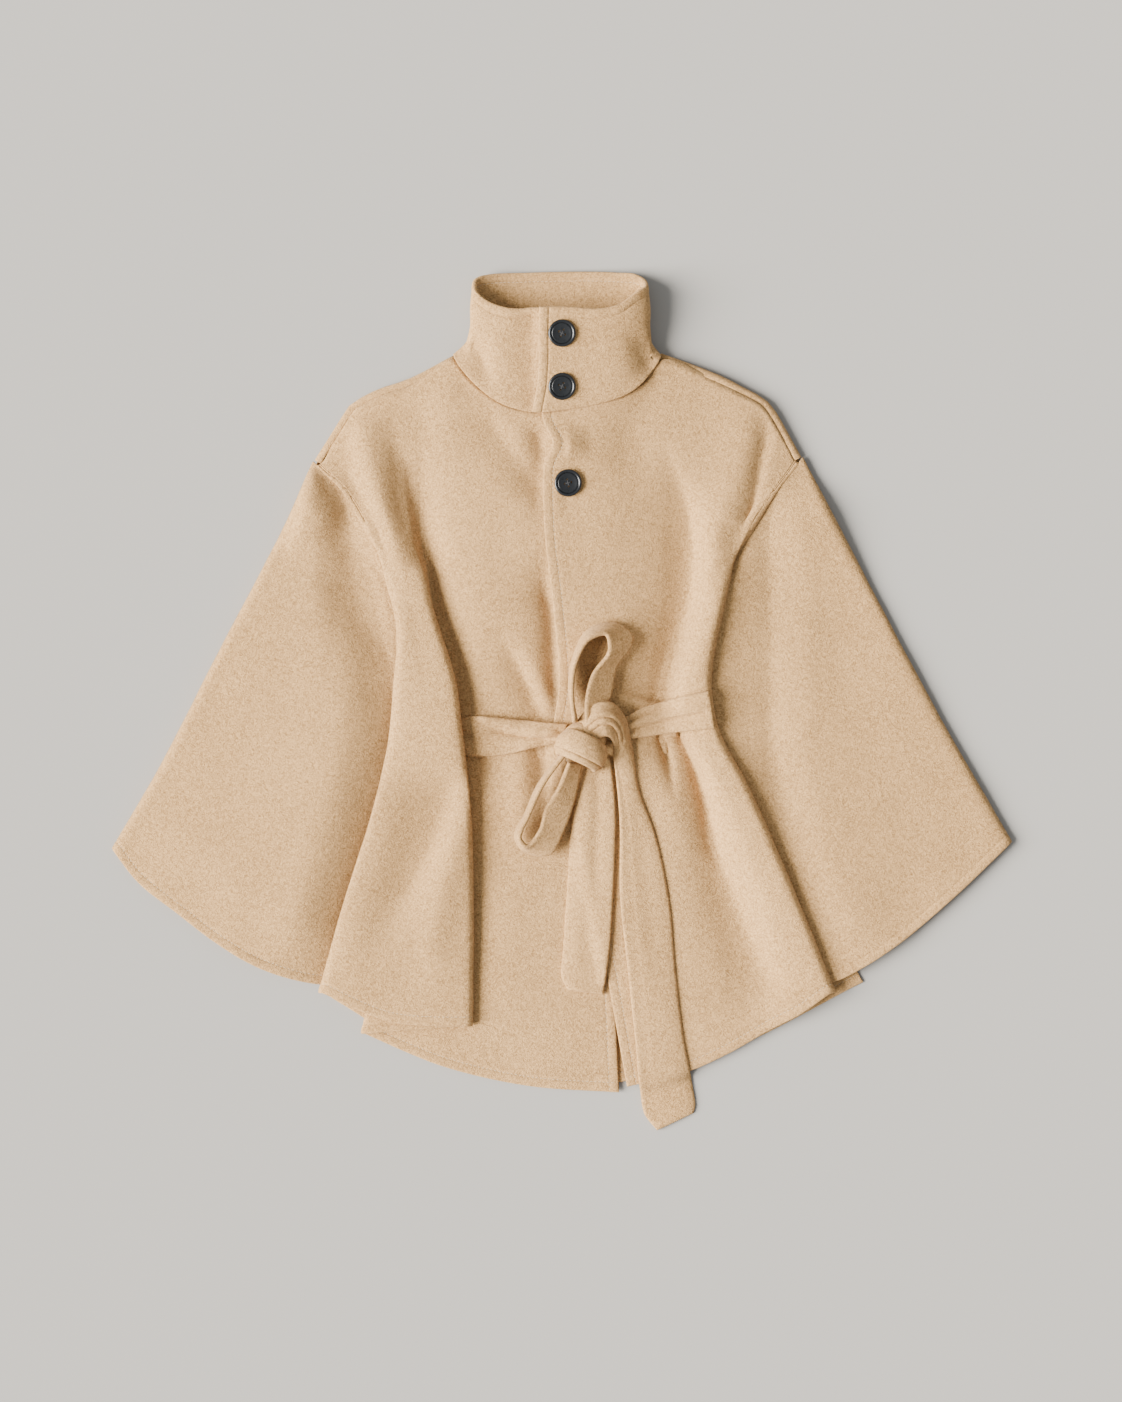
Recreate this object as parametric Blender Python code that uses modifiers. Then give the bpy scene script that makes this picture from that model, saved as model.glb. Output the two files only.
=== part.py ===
"""A belted wool cape laid flat on its back, built from the pieces it is cut and sewn from.

Every piece of cloth is an open sheet with a wall given by Solidify. A sheet runs through cross
sections, and a section is worked out from a short table with one row for each level of the garment.
Tables are in millimetres: x to the right, y towards the collar, z up from the floor. Left and right
are the sides seen from above.
"""

import functools
import math
from collections import namedtuple

import bmesh
import bpy
import numpy as np
from mathutils import Vector
from mathutils.bvhtree import BVHTree

# ---------------------------------------------------------------- driving sizes (millimetres)
MM = 0.001
CLOTH = 2.4                 # wall of the brushed coating wool
BAND = 4.6                  # two walls sewn face to face: collar, belt
SEAM_GAP = 0.3              # daylight between sewn pieces
FLOOR_LAYER = CLOTH / 2     # height of a layer lying on the floor, at the middle of its wall
SIDE_ROLL = 3.6             # radius of the fold along each side of the body
PLEAT_ROLL = 3.2            # radius of the visible fold of the left pleat
TUCK_ROLL = 2.0             # radius of the hidden fold of the left pleat
SHOULDER_WRAP = 7.6         # how far the back comes over the shoulder to its seam
SHOULDER_TIP = 0.985        # where a front's top edge ends, as a share of the shoulder's reach
SHOULDER_BLEND = 40.0       # distance from the neck over which the shoulder's wrap reaches its full rise
COLLAR_SQUARE = 0.72        # 1 is an oval collar, less is squarer
BUTTON_RADIUS = 13.7
BUTTON_THICK = 4.4
BUTTON_RIM = 2.6            # width of the raised rim
BUTTON_DISH = 1.1           # depth of the dished face
BUTTON_HOLE_RADIUS = 1.15
BUTTON_HOLE_SPACING = 4.6
KNOT_SIZE = (58.0, 50.0, 30.0)
KNOT_CENTRE = (20.5, -34.0, 34.5)
KNOT_TURN = -38.0           # degrees, the way the knot's wraps run
KNOT_RIDGES = 5
KNOT_RIDGE_HEIGHT = 1.5

WOOL_COLOUR = (0.63, 0.49, 0.31)
BUTTON_COLOUR = (0.02, 0.02, 0.023)

HIDDEN_BELOW = 8.0          # layers lower than this are pressed flat and take no creases
PULL = 2.5                  # how far a tight bend may steer the long run beside it

# How finely each sheet is divided: steps in each run across, and between each pair of levels down.
LEFT_ROWS = (3, 3, 2, 2, 3, 2, 2, 3, 3)
RIGHT_ROWS = (3, 3, 3, 3, 2, 2, 3, 3)
LEFT_COLUMNS = (2, 1, 1, 3, 3, 1, 1, 2, 1, 1, 3, 3, 3)
RIGHT_COLUMNS = (3, 3, 3, 3, 2, 1, 1, 2)
BACK_COLUMNS = (5, 4, 4, 5)
BACK_ROWS = (2, 2, 2, 2, 2, 2)
# The back's turn over the shoulder: distance in from the outline, share of the rise.
BACK_WRAP = ((4.6, 1.0), (1.6, 0.93), (0.0, 0.5), (1.8, 0.05))
BACK_NECK_TURN = 3.6        # height of the turned neck edge of the back
SLEEVE_COLUMNS, SLEEVE_ROWS = 13, 12
SLEEVE_UNDERARM_STEPS = (64.0, 46.0, 30.0, 15.0)  # distances from the underarm fold, finely divided
SLEEVE_ROLL, UNDERARM_ROLL = 2.6, 1.7
COLLAR_COLUMNS, COLLAR_ROWS = 44, 5
BAND_REACH = 3.0            # how far round a point a band feels for what lies below
BAND_SMOOTHING = 3

Level = namedtuple("Level", "name side_turn pleat_turn points")
Rung = namedtuple("Rung", "left right lift")
Crease = namedtuple("Crease", "name start end width depth")
Drape = namedtuple("Drape", "y start run steep loft swell reach")

# The front lying underneath, at the left. A turn of 1 is a full fold, 0 is flat.
# Lines: side seam, side fold, crest, pleat edge, pleat tuck, neck line, middle, front edge.
LEFT_FRONT = (
    Level("shoulder", 0, 0, (
        (-243, 238, 7), (-236, 245, 8), (-199, 292, 10), (-164, 309, 10.5),
        (-137, 322, 11.2), (-107, 340, 13), (-52, 291, 19), (35, 296, 19))),
    Level("armhole", 0, 0, (
        (-225, 218, 14.5), (-218, 224, 15.5), (-190, 247, 17), (-164, 256, 15.5),
        (-138, 260, 13), (-107, 266, 15.5), (-47, 252, 21), (36, 250, 19))),
    Level("armhole foot", 0, 0.2, (
        (-189, 159, 13), (-186, 168, 17), (-171, 171, 23), (-151, 172, 19.5),
        (-134, 173, 11), (-105, 176, 15.5), (-50, 179, 20), (37, 179, 18.5))),
    Level("above the bust", 0.6, 0.65, (
        (-160, 118, 11.6), (-176, 126, 18.5), (-158, 128, 25), (-138, 131, 22),
        (-133, 131, 10.5), (-98, 132, 15.5), (-44, 134, 19.5), (37.5, 134, 18))),
    Level("bust", 1, 1, (
        (-134, 80, 11.2), (-165, 82, 21), (-147, 84, 26), (-128, 90, 21.5),
        (-129, 90, 10), (-88, 90, 14), (-37, 92, 19), (38, 92, 17.5))),
    Level("above the belt", 1, 1, (
        (-138, 12, 11.2), (-167, 10, 22.5), (-136, 12, 29), (-105, 12, 24.5),
        (-115, 12, 9.8), (-78, 12, 12), (-32, 12, 17), (40, 12, 15))),
    Level("belt", 1, 1, (
        (-142, -40, 11.2), (-172, -40, 22.5), (-136, -38, 31), (-102, -34, 27.5),
        (-125, -34, 9.4), (-84, -34, 9.5), (-32, -34, 12), (42, -34, 11.5))),
    Level("below the belt", 1, 1, (
        (-155, -103, 11.2), (-186, -103, 23), (-140, -103, 28), (-90, -103, 23),
        (-137, -103, 8.6), (-92, -103, 8.5), (-32, -106, 12.5), (45, -106, 11))),
    Level("skirt", 1, 1, (
        (-184, -196, 11.2), (-215, -196, 21), (-154, -200, 26), (-89, -204, 19.5),
        (-169, -204, 8.2), (-107, -213, 7.5), (-34, -223, 10.5), (50, -233, 7.5))),
    Level("hem", 1, 1, (
        (-212, -298, 11.2), (-242, -290, 14.6), (-173, -318, 17.5), (-90, -323, 13.5),
        (-200, -331, 7.6), (-122, -363, 4.6), (-37, -383, 4.4), (57, -390, 4.2))),
)

# The front lying on top, at the right.
# Lines: front edge, middle, neck line, trough, ridge, side fold, side seam.
RIGHT_FRONT = (
    Level("shoulder", 0, 0, (
        (-20.5, 287, 26), (43, 297, 24), (97, 335, 14), (138, 326, 11),
        (190, 298, 10), (227, 248, 8), (234, 242, 7))),
    Level("armhole", 0, 0, (
        (-19, 232, 26.5), (41, 234, 24), (93, 240, 18.5), (131, 240, 15.5),
        (173, 238, 15), (212, 222, 13), (219, 218, 12))),
    Level("armhole foot", 0, 0, (
        (-17.5, 171, 25), (43, 172, 23), (93, 174, 18.5), (128, 174, 15.5),
        (156, 174, 22), (179, 168, 18), (182, 159, 13))),
    Level("bust", 1, 0, (
        (-9, 97, 24), (50, 99, 22), (93, 100, 18), (124, 101, 14.5),
        (145, 102, 24), (162, 102, 21.5), (133, 96, 11.2))),
    Level("above the belt", 1, 0, (
        (-3.5, 12, 21.5), (50, 12, 19.5), (83, 13, 15.5), (104, 14, 12),
        (126, 14, 24), (148, 12, 22), (121, 8, 11.2))),
    Level("belt", 1, 0, (
        (-9, -35, 16), (46, -30, 16), (83, -24, 13.5), (106, -22, 12.5),
        (130, -20, 21), (153, -20, 20.5), (126, -24, 11.2))),
    Level("below the belt", 1, 0, (
        (2, -83, 16), (63, -85, 18), (102, -84, 17), (136, -83, 13),
        (162, -83, 25), (185, -85, 22.5), (154, -91, 11.2))),
    Level("skirt", 1, 0, (
        (30, -198, 13), (88, -201, 15.5), (133, -198, 14.5), (173, -195, 12),
        (206, -198, 24), (235, -200, 21.5), (203, -206, 11.2))),
    Level("hem", 1, 0, (
        (65, -384, 8), (126, -369, 7), (168, -350, 7.5), (208, -327, 9),
        (238, -311, 15), (272, -290, 14.6), (240, -300, 11.2))),
)

# Outline of the shoulders, armhole to neck; the seam to the fronts lies a little inside it.
LEFT_SHOULDER = ((-248, 236), (-221, 281), (-209, 298), (-186, 310), (-154, 321), (-109, 345))
RIGHT_SHOULDER = ((100, 347), (166, 321), (189, 309), (207, 297), (222, 273), (240, 241))
# Neck edge of each front, and of the back.
LEFT_NECK = ((-107, 339), (-99, 328), (-81, 309.5), (-58, 294.5), (-39, 288.6), (-21, 286.6), (5, 289.6),
             (38, 296.6))
RIGHT_NECK = ((-20.5, 286.6), (5, 289.6), (45, 297.6), (66, 305.6), (85, 321.5), (97, 338))
BACK_NECK = ((-106, 341), (-60, 331), (-6, 328), (50, 331), (97, 343))
# Height of the shoulder seam at a distance from the middle of the neck.
SHOULDER_HEIGHTS = ((103, 13), (134, 11), (194, 9.5), (238, 7.5))
NECK_MIDDLE = -4.0

# The back, flat on the floor. Lines: left side, left neck line, middle, right neck line, right side.
BACK = (
    Level("shoulder", 0, 0, ((-241, 236), (-115, 328), (-6, 318), (106, 330), (233, 239))),
    Level("armhole", 0, 0, ((-219, 212), (-108, 230), (-5, 230), (100, 230), (213, 212))),
    Level("armhole foot", 0, 0, ((-182, 158), (-105, 170), (-4, 170), (96, 170), (176, 156))),
    Level("bust", 0, 0, ((-157, 82), (-95, 90), (-2, 90), (85, 90), (154, 96))),
    Level("belt", 0, 0, ((-164, -40), (-95, -40), (0, -40), (85, -35), (160, -25))),
    Level("skirt", 0, 0, ((-206, -196), (-115, -210), (10, -210), (125, -205), (250, -190))),
    Level("hem", 0, 0, ((-230, -296), (-128, -355), (20, -384), (160, -350), (301, -280))),
)

# How a sleeve's upper layer leaves the body, level by level: y, distance from the body's side at which it
# rises, run of the rise, how steeply it starts, its loft, then height and run of a swell at the side.
LEFT_DRAPE = (
    Drape(-300, 0, 60, 1, 12, 0, 9), Drape(-140, 0, 66, 1, 13, 0, 9), Drape(-40, 0, 82, 1, 13, 0, 9),
    Drape(0, 0, 82, 0.9, 13, 0, 9), Drape(42, 4, 80, 0.3, 13, 0, 9), Drape(82, 28, 56, 0, 13, 0, 9),
    Drape(122, 32, 48, 0, 13, 0, 9), Drape(162, 24, 42, 0, 13, 0, 9), Drape(200, 14, 34, 0, 13, 0, 9),
)
RIGHT_DRAPE = (
    Drape(-300, -12, 12, 0, 5.5, 0, 9), Drape(-150, -12, 12, 0, 5.5, 0, 9), Drape(-98, -12, 12, 0, 4, 2, 20),
    Drape(-58, -12, 12, 0, 3.5, 4, 34), Drape(-18, -12, 12, 0, 3, 4.5, 56),
    Drape(62, -12, 12, 0, 3, 5.5, 54), Drape(102, -12, 12, 0, 3, 5.5, 48),
    Drape(142, -12, 12, 0, 3.5, 4.5, 34), Drape(182, -12, 12, 0, 4, 3, 20),
)
# Sleeves: outer fold from shoulder to hem, underarm fold, end of the armhole under the body, hem,
# and the side fold of the body that lies over the sleeve.
LEFT_SLEEVE = dict(
    outer=((-248, 240), (-270, 189), (-292, 145), (-342, 50), (-402, -67), (-449, -147)),
    under=((-157, 112), (-138, 62), (-140, 10), (-147, -43), (-165, -132), (-194, -227), (-210, -283)),
    armhole=((-175, 141, 8.5), (-157, 112, 7.0)),
    hem=((-449, -147), (-424, -179), (-385, -210), (-347, -239), (-309, -262), (-271, -276),
         (-242, -282), (-210, -283)),
    side=((-186, 168), (-165, 82), (-167, 10), (-172, -40), (-186, -103), (-215, -196), (-242, -290)),
    drape=LEFT_DRAPE,
)
RIGHT_SLEEVE = dict(
    outer=((240, 244), (310, 110), (379, -19), (449, -140)),
    under=((150, 115), (134, 80), (121, 12), (127, -25), (157, -85), (207, -198), (243, -283)),
    armhole=((167, 141, 8.5), (150, 115, 7.0)),
    hem=((449, -140), (388, -198), (338, -240), (302, -264), (272, -279), (243, -283)),
    side=((179, 168), (162, 102), (148, 12), (153, -20), (185, -85), (235, -200), (272, -290)),
    drape=RIGHT_DRAPE,
)
SLEEVE_CROWN = 2.5          # how much higher a sleeve lies away from the body
CROWN_RISE = 45.0           # distance over which it rises to that
SLEEVE_FALL = 5.0           # how much lower it lies towards its outer fold
FALL_RUN = 120.0            # distance from the outer fold over which it comes down
FALL_START = 0.35           # share of the sleeve's length over which that fall begins
STEEP_POWER = 2.2           # form of a rise that is steepest at its foot
SWELL_REACH = 12.0          # how far under the body a swell beside it starts
SWELL_POWER = 1.5           # form of its fall
HEM_FLATTENING = 0.5        # share of the loft lost at the hem
HEM_FALL = 0.2              # share of the sleeve's length over which it is lost
BACK_EDGE_CLIMB = 36.0      # where a sleeve's lower layer starts to climb over the edge of the back
BACK_EDGE_RAMP = 24.0       # distance over which it climbs
ARMHOLE_BLEND = 0.15        # share of the sleeve's length that follows the armhole's height
SLEEVE_UNDER_BODY = 7.0     # height of the upper layer where the body lies on it
ARMHOLE_FOOT = 9.6          # height of the sleeve where it goes under the body
ARMHOLE_GAP = 0.9           # groove of the armhole seam

# Collar, from the neck seam to the rim: middle x, half width, then heights at side, front and back.
COLLAR_LEVELS = ((-5.0, 103.0, 13.0, 25.0, 3.6), (-3.0, 90.5, 16.0, 30.5, 3.0),
                 (-2.0, 87.5, 19.0, 35.0, 2.7), (-2.0, 87.5, 21.0, 38.5, 2.7), (-2.0, 85.0, 22.0, 41.0, 2.7))
COLLAR_FRONT_RIM = ((-88, 414), (-83, 408), (-74, 399), (-58, 392), (-40, 390), (-26, 391), (13, 391),
                    (46, 391), (59, 395), (72, 406), (84, 415))
COLLAR_BACK_RIM = ((-88, 417), (-74, 426), (-33, 428.5), (53, 428.5), (74, 426), (84, 417))
COLLAR_FRONT_SEAM = ((-109, 346), (-104, 337), (-98, 329), (-82, 312), (-58, 296), (-39, 290), (-21, 288),
                     (5, 291), (45, 299), (66, 307), (85, 323), (94, 335), (99, 344))
COLLAR_BACK_SEAM = ((-108, 345), (-60, 336), (-6, 333), (50, 336), (98, 344))
COLLAR_OVER_ANGLE = 98.0    # where the end on top lies, degrees round the tube from its right side
COLLAR_UNDER_ANGLE = 74.0   # where the end beneath it lies
COLLAR_LAP_DROP = 5.4       # how far the lower end lies beneath the upper one
COLLAR_LAP_START = 70.0     # degrees before the lap at which it starts to go down
COLLAR_LAP_RAMP = 55.0      # degrees over which it goes down
COLLAR_LAP_INSET = 0.4      # how far it also draws in, as a share of the drop
COLLAR_SIDE_BLEND = 1.4     # how fast the outline changes from its front line to its back line

# Belt stretches: left edge, right edge and lift above what lies below, from the first end on.
BELT_LEFT = (
    Rung((-104, -17), (-104, -49), 0.0), Rung((-90, -14), (-93, -54), 0.0),
    Rung((-71, -15), (-79, -54), 0.0), Rung((-40, -18), (-54, -52), 0.0),
    Rung((-19, -20), (-30, -46), 4.0), Rung((6, -22), (0, -39), 4.0),
)
BELT_RIGHT = (
    Rung((38, -24), (38, -38), 4.0), Rung((60, -16), (64, -37), 1.5), Rung((82, -5), (88, -34), 0.0),
    Rung((103, 1), (108, -31), 0.0), Rung((126, 7), (131, -28), 0.0), Rung((146, 11), (152, -26), 0.0),
)
SHORT_TAIL = (
    Rung((18, -52), (48, -56), 0.5), Rung((12, -104), (53, -100), 0.0), Rung((8, -140), (53, -140), 0.0),
    Rung((5, -190), (51, -190), 0.0), Rung((1, -250), (47, -250), 0.0), Rung((0, -276), (43, -280), 0.0),
    Rung((6, -287), (41, -292), 0.0),
)
LONG_TAIL = (
    Rung((44, -44), (70, -42), 6.5), Rung((55, -68), (81, -80), 3.5), Rung((57, -113), (92, -130), 0.0),
    Rung((58, -198), (107, -200), 0.0), Rung((65, -263), (113, -268), 0.0),
    Rung((73, -338), (122, -340), 0.0), Rung((78, -388), (129, -376), 0.0),
    Rung((83, -413), (133, -405), 0.0), Rung((95, -428), (131, -411), 0.0),
)
BELT_INSIDE = (
    Rung((-74, -12), (-74, -56), 0.0), Rung((0, -12), (0, -56), 0.0), Rung((106, -8), (106, -52), 0.0),
)

# Bow loops: lower edge of the band, then its upper edge, round from the knot and back.
LOOP_UP = (
    ((14, -20, 31), (12, -20, 46)), ((8, 14, 27), (10, 12, 48)), ((12, 44, 25), (14, 40, 48)),
    ((26, 71, 25), (29, 63, 47)), ((60, 76, 25), (43, 66, 43)), ((70, 66, 25), (46, 53, 40)),
    ((54, 34, 26), (29, 26, 40)), ((48, 4, 27), (23, 2, 41)), ((36, -18, 31), (23, -20, 43)),
)
LOOP_DOWN = (
    ((2, -50, 27), (4, -50, 42)), ((-24, -84, 24), (-20, -84, 44)), ((-36, -112, 23), (-31, -108, 43)),
    ((-46, -136, 23), (-41, -136, 40)), ((-40, -146, 23), (-36, -142, 37)),
    ((-12, -152, 23), (-23, -127, 34)), ((2, -128, 24), (-17, -106, 35)), ((14, -92, 25), (-5, -86, 37)),
    ((20, -60, 28), (6, -60, 40)),
)

BUTTONS = ((0.0, 365.0), (0.0, 313.0), (6.0, 217.5))

# Long soft folds pressed into the fronts: where each starts and ends, its half width and its depth.
CREASES = (
    Crease("pull to the knot", (-62, 38), (-28, -14), 13, -5.0),
    Crease("fall from the left belt", (-104, -66), (-186, -250), 22, -6.0),
    Crease("gather below right", (100, -38), (112, -90), 11, -3.5),
    Crease("gather by the knot", (-20, -46), (-17, -110), 11, -3.5),
    Crease("hollow under the placket", (-30, 262), (-28, 200), 16, -3.0),
)


# ---------------------------------------------------------------- curves
def path(points, place):
    """Point on a smooth curve through the points; place counts them, 0 for the first."""
    rows = np.asarray(points, dtype=float)
    last = len(rows) - 1
    spot = min(max(place, 0.0), float(last))
    i = min(int(spot), last - 1)
    r = spot - i
    chord = rows[i + 1] - rows[i]
    h = np.linalg.norm(chord) or 1.0

    def slope(j):
        """Direction of the curve at point j, weighted by the runs on each side of it."""
        before = rows[j] - rows[j - 1] if j > 0 else None
        after = rows[j + 1] - rows[j] if j < last else None
        if before is None:
            return after / (np.linalg.norm(after) or 1.0)
        if after is None:
            return before / (np.linalg.norm(before) or 1.0)
        hb, ha = np.linalg.norm(before) or 1.0, np.linalg.norm(after) or 1.0
        return (ha * before / hb + hb * after / ha) / (ha + hb)

    run_before = np.linalg.norm(rows[i] - rows[i - 1]) if i > 0 else h
    run_after = np.linalg.norm(rows[i + 2] - rows[i + 1]) if i + 2 <= last else h
    a = slope(i) * min(h, PULL * run_before)
    b = slope(i + 1) * min(h, PULL * run_after)
    return (rows[i] * (2 * r**3 - 3 * r**2 + 1) + a * (r**3 - 2 * r**2 + r)
            + rows[i + 1] * (3 * r**2 - 2 * r**3) + b * (r**3 - r**2))


def along(points, share):
    """Point at a share of the curve's count of rows, 0 to 1."""
    return path(points, share * (len(points) - 1))


def by_x(points, x):
    """Height y of an outline at x."""
    rows = sorted(points)
    return float(np.interp(x, [p[0] for p in rows], [p[1] for p in rows]))


def by_y(points, y):
    """Position x of a side line at y."""
    rows = sorted(points, key=lambda p: p[1])
    return float(np.interp(y, [p[1] for p in rows], [p[0] for p in rows]))


def ease(value):
    """Smooth step from 0 to 1."""
    v = min(max(value, 0.0), 1.0)
    return v * v * (3 - 2 * v)


def crease_depth(x, y):
    """Sum of the pressed folds at a place."""
    total = 0.0
    spot = np.array((x, y))
    for crease in CREASES:
        start, end = np.array(crease.start, float), np.array(crease.end, float)
        run = end - start
        t = float(np.dot(spot - start, run) / np.dot(run, run))
        near = start + run * min(max(t, 0.0), 1.0)
        off = float(np.linalg.norm(spot - near)) / crease.width
        fade = ease(t / 0.3 + 0.35) * ease((1 - t) / 0.4 + 0.35)
        total += crease.depth * math.exp(-off * off) * fade
    return total


# ---------------------------------------------------------------- cloth sheets
def turned(point, roll, turn, inward):
    """Three points round a fold: before it, on it and after it, coming from its inward side."""
    x, y, z = point
    before = (x + inward * roll, y, z + roll * turn)
    after = (x + inward * roll * (2 * turn - 1), y, z - roll * turn)
    return [before, (x, y, z), after]


def left_section(level):
    """Control points across the left front, side seam to front edge."""
    seam, side, crest, edge, tuck, neck, middle, front = level.points
    rim = turned(side, SIDE_ROLL, level.side_turn, 1)[::-1]
    pleat = turned(edge, PLEAT_ROLL, level.pleat_turn, -1)
    under = turned(tuck, TUCK_ROLL, level.pleat_turn, 1)
    flat = 1 - level.pleat_turn
    rise = TUCK_ROLL * level.pleat_turn
    under[0] = (tuck[0] + rise - TUCK_ROLL * flat, tuck[1], tuck[2] + rise)
    under[2] = (tuck[0] + TUCK_ROLL, tuck[1], tuck[2] - rise)
    return [seam, *rim, crest, *pleat, *under, neck, middle, front]


def right_section(level):
    """Control points across the right front, front edge to side seam."""
    front, middle, neck, trough, ridge, side, seam = level.points
    return [front, middle, neck, trough, ridge, *turned(side, SIDE_ROLL, level.side_turn, -1), seam]


def back_section(level):
    """Control points across the back, all on the floor."""
    return [(x, y, FLOOR_LAYER) for x, y in level.points]


def spread(counts):
    """Places along a section, with the given number of steps in each of its runs."""
    places = []
    for run, steps in enumerate(counts):
        places += [run + k / steps for k in range(steps)]
    return places + [float(len(counts))]


class Panel:
    """A panel's surface: columns across its sections, rows down its levels."""

    def __init__(self, levels, section, columns, rows):
        self.sections = [section(level) for level in levels]
        self.columns = spread(columns)
        self.rows = spread(rows)

    @functools.lru_cache(maxsize=None)
    def controls(self, place):
        """Section worked out at a place down the panel."""
        lines = zip(*self.sections)
        return tuple(tuple(path(line, place)) for line in lines)

    def point(self, column, row):
        """Place of a point given by its column and row, in millimetres."""
        return path(self.controls(self.rows[row]), self.columns[column])


def sheet(name, columns, rows, place, wall, material, closed=False, even=True):
    """A wall of cloth: a grid whose corners are placed by a function, then thickened."""
    bm = bmesh.new()
    bmesh.ops.create_grid(bm, x_segments=columns, y_segments=rows, size=0.5)
    for vert in bm.verts:
        column = round((vert.co.x + 0.5) * columns)
        row = round((vert.co.y + 0.5) * rows)
        vert.co = Vector(place(column, row)) * MM
    if closed:
        bmesh.ops.remove_doubles(bm, verts=bm.verts, dist=1e-6)
    mesh = bpy.data.meshes.new(name)
    bm.to_mesh(mesh)
    bm.free()
    piece = add_piece(name, mesh, material)
    thick = piece.modifiers.new("wall", "SOLIDIFY")
    thick.thickness = wall * MM
    thick.offset = 0.0
    thick.use_even_offset = even
    thick.use_quality_normals = True
    return piece


def add_piece(name, mesh, material):
    """Link a mesh into the cape's collection with its material and smooth shading."""
    piece = bpy.data.objects.new(name, mesh)
    piece.data.materials.append(material)
    bpy.data.collections["wool_cape"].objects.link(piece)
    mesh.shade_smooth()
    mesh.set_sharp_from_angle(angle=math.radians(50))
    return piece


def shoulder_offset(outline, x, inset):
    """Point of a shoulder outline at x, moved in by a distance square to it."""
    low, high = max(x - 2, outline[0][0]), min(x + 2, outline[-1][0])
    slope = (by_x(outline, high) - by_x(outline, low)) / (high - low)
    length = math.hypot(1, slope)
    return x + slope * inset / length, by_x(outline, x) - inset / length


def top_edge(shoulder, neck):
    """Top edge of a front: the shoulder seam, moved in from the outline, then the neck."""
    seam = [shoulder_offset(shoulder, x, SHOULDER_WRAP) for x, _ in shoulder[1:-1]]
    tip = shoulder[0] if shoulder[0][0] < neck[0][0] else shoulder[-1]
    side = shoulder_offset(shoulder, tip[0] * SHOULDER_TIP, SHOULDER_WRAP)
    return sorted([side, *seam, *neck])


def shoulder_height(x):
    """Height of the shoulder seam at x."""
    away = abs(x - NECK_MIDDLE)
    return float(np.interp(away, [r[0] for r in SHOULDER_HEIGHTS], [r[1] for r in SHOULDER_HEIGHTS]))


def front(name, levels, section, columns, rows, shoulder, neck, material):
    """One front: its sections, with its top edge brought to the shoulder and neck seams."""
    panel = Panel(levels, section, columns, rows)
    edge = top_edge(shoulder, neck)

    def place(column, row):
        x, y, z = panel.point(column, row)
        level = panel.rows[row]
        top = panel.point(column, 0)
        y += (by_x(edge, top[0]) - top[1]) * ease(1 - level / 2)
        showing = ease((z - HIDDEN_BELOW) / HIDDEN_BELOW)
        return x, y, z + crease_depth(x, y) * ease(level) * showing

    return panel, sheet(name, len(panel.columns) - 1, len(panel.rows) - 1, place, CLOTH, material)


def back_panel(material):
    """Back, flat on the floor, its shoulders wrapped forward to their seams."""
    panel = Panel(BACK, back_section, BACK_COLUMNS, BACK_ROWS)
    wraps = len(BACK_WRAP)

    def place(column, row):
        if row >= wraps:
            return panel.point(column, row - wraps)
        inset, rise = BACK_WRAP[row]
        x = panel.point(column, 0)[0]
        if BACK_NECK[0][0] < x < BACK_NECK[-1][0]:
            return x, by_x(BACK_NECK, x) - inset, FLOOR_LAYER + BACK_NECK_TURN * rise
        shoulder = LEFT_SHOULDER if x < NECK_MIDDLE else RIGHT_SHOULDER
        rise *= 0.5 + 0.5 * ease((abs(x - NECK_MIDDLE) - SHOULDER_HEIGHTS[0][0]) / SHOULDER_BLEND)
        x, y = shoulder_offset(shoulder, x, inset)
        return x, y, FLOOR_LAYER + (shoulder_height(x) - FLOOR_LAYER) * rise

    return sheet("back_panel", len(panel.columns) - 1, len(panel.rows) - 1 + wraps, place, CLOTH, material,
                 even=False)


def armhole_line(panel, column, shape):
    """Armhole seam of a sleeve: beside the edge of its front as far as it shows, then under the body."""
    seam = [panel.point(column, row) for row in range(0, sum(LEFT_ROWS[:2]) + 1)]
    line = []
    for i, here in enumerate(seam):
        run = seam[min(i + 1, len(seam) - 1)] - seam[max(i - 1, 0)]
        away = np.array((run[1], -run[0])) / math.hypot(run[0], run[1])
        if away[0] * here[0] < 0:
            away = -away
        line.append((*(here[:2] + away * ARMHOLE_GAP), min(here[2], ARMHOLE_FOOT)))
    return line + list(shape["armhole"])


def drape(levels, y, clear):
    """Loft of a sleeve's upper layer, by how far it is clear of the body's side."""
    heights, *columns = zip(*levels)
    start, run, steep, loft, swell, reach = (float(np.interp(y, heights, column)) for column in columns)
    share = min(max((clear - start) / run, 0.0), 1.0)
    rise = ease(share) * (1 - steep) + (1 - (1 - share) ** STEEP_POWER) * steep
    side = swell * ease(clear / SWELL_REACH + 1) * min(max(1 - clear / reach, 0.0), 1.0) ** SWELL_POWER
    return loft * rise + side + SLEEVE_CROWN * ease((clear - reach) / CROWN_RISE)


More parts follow.
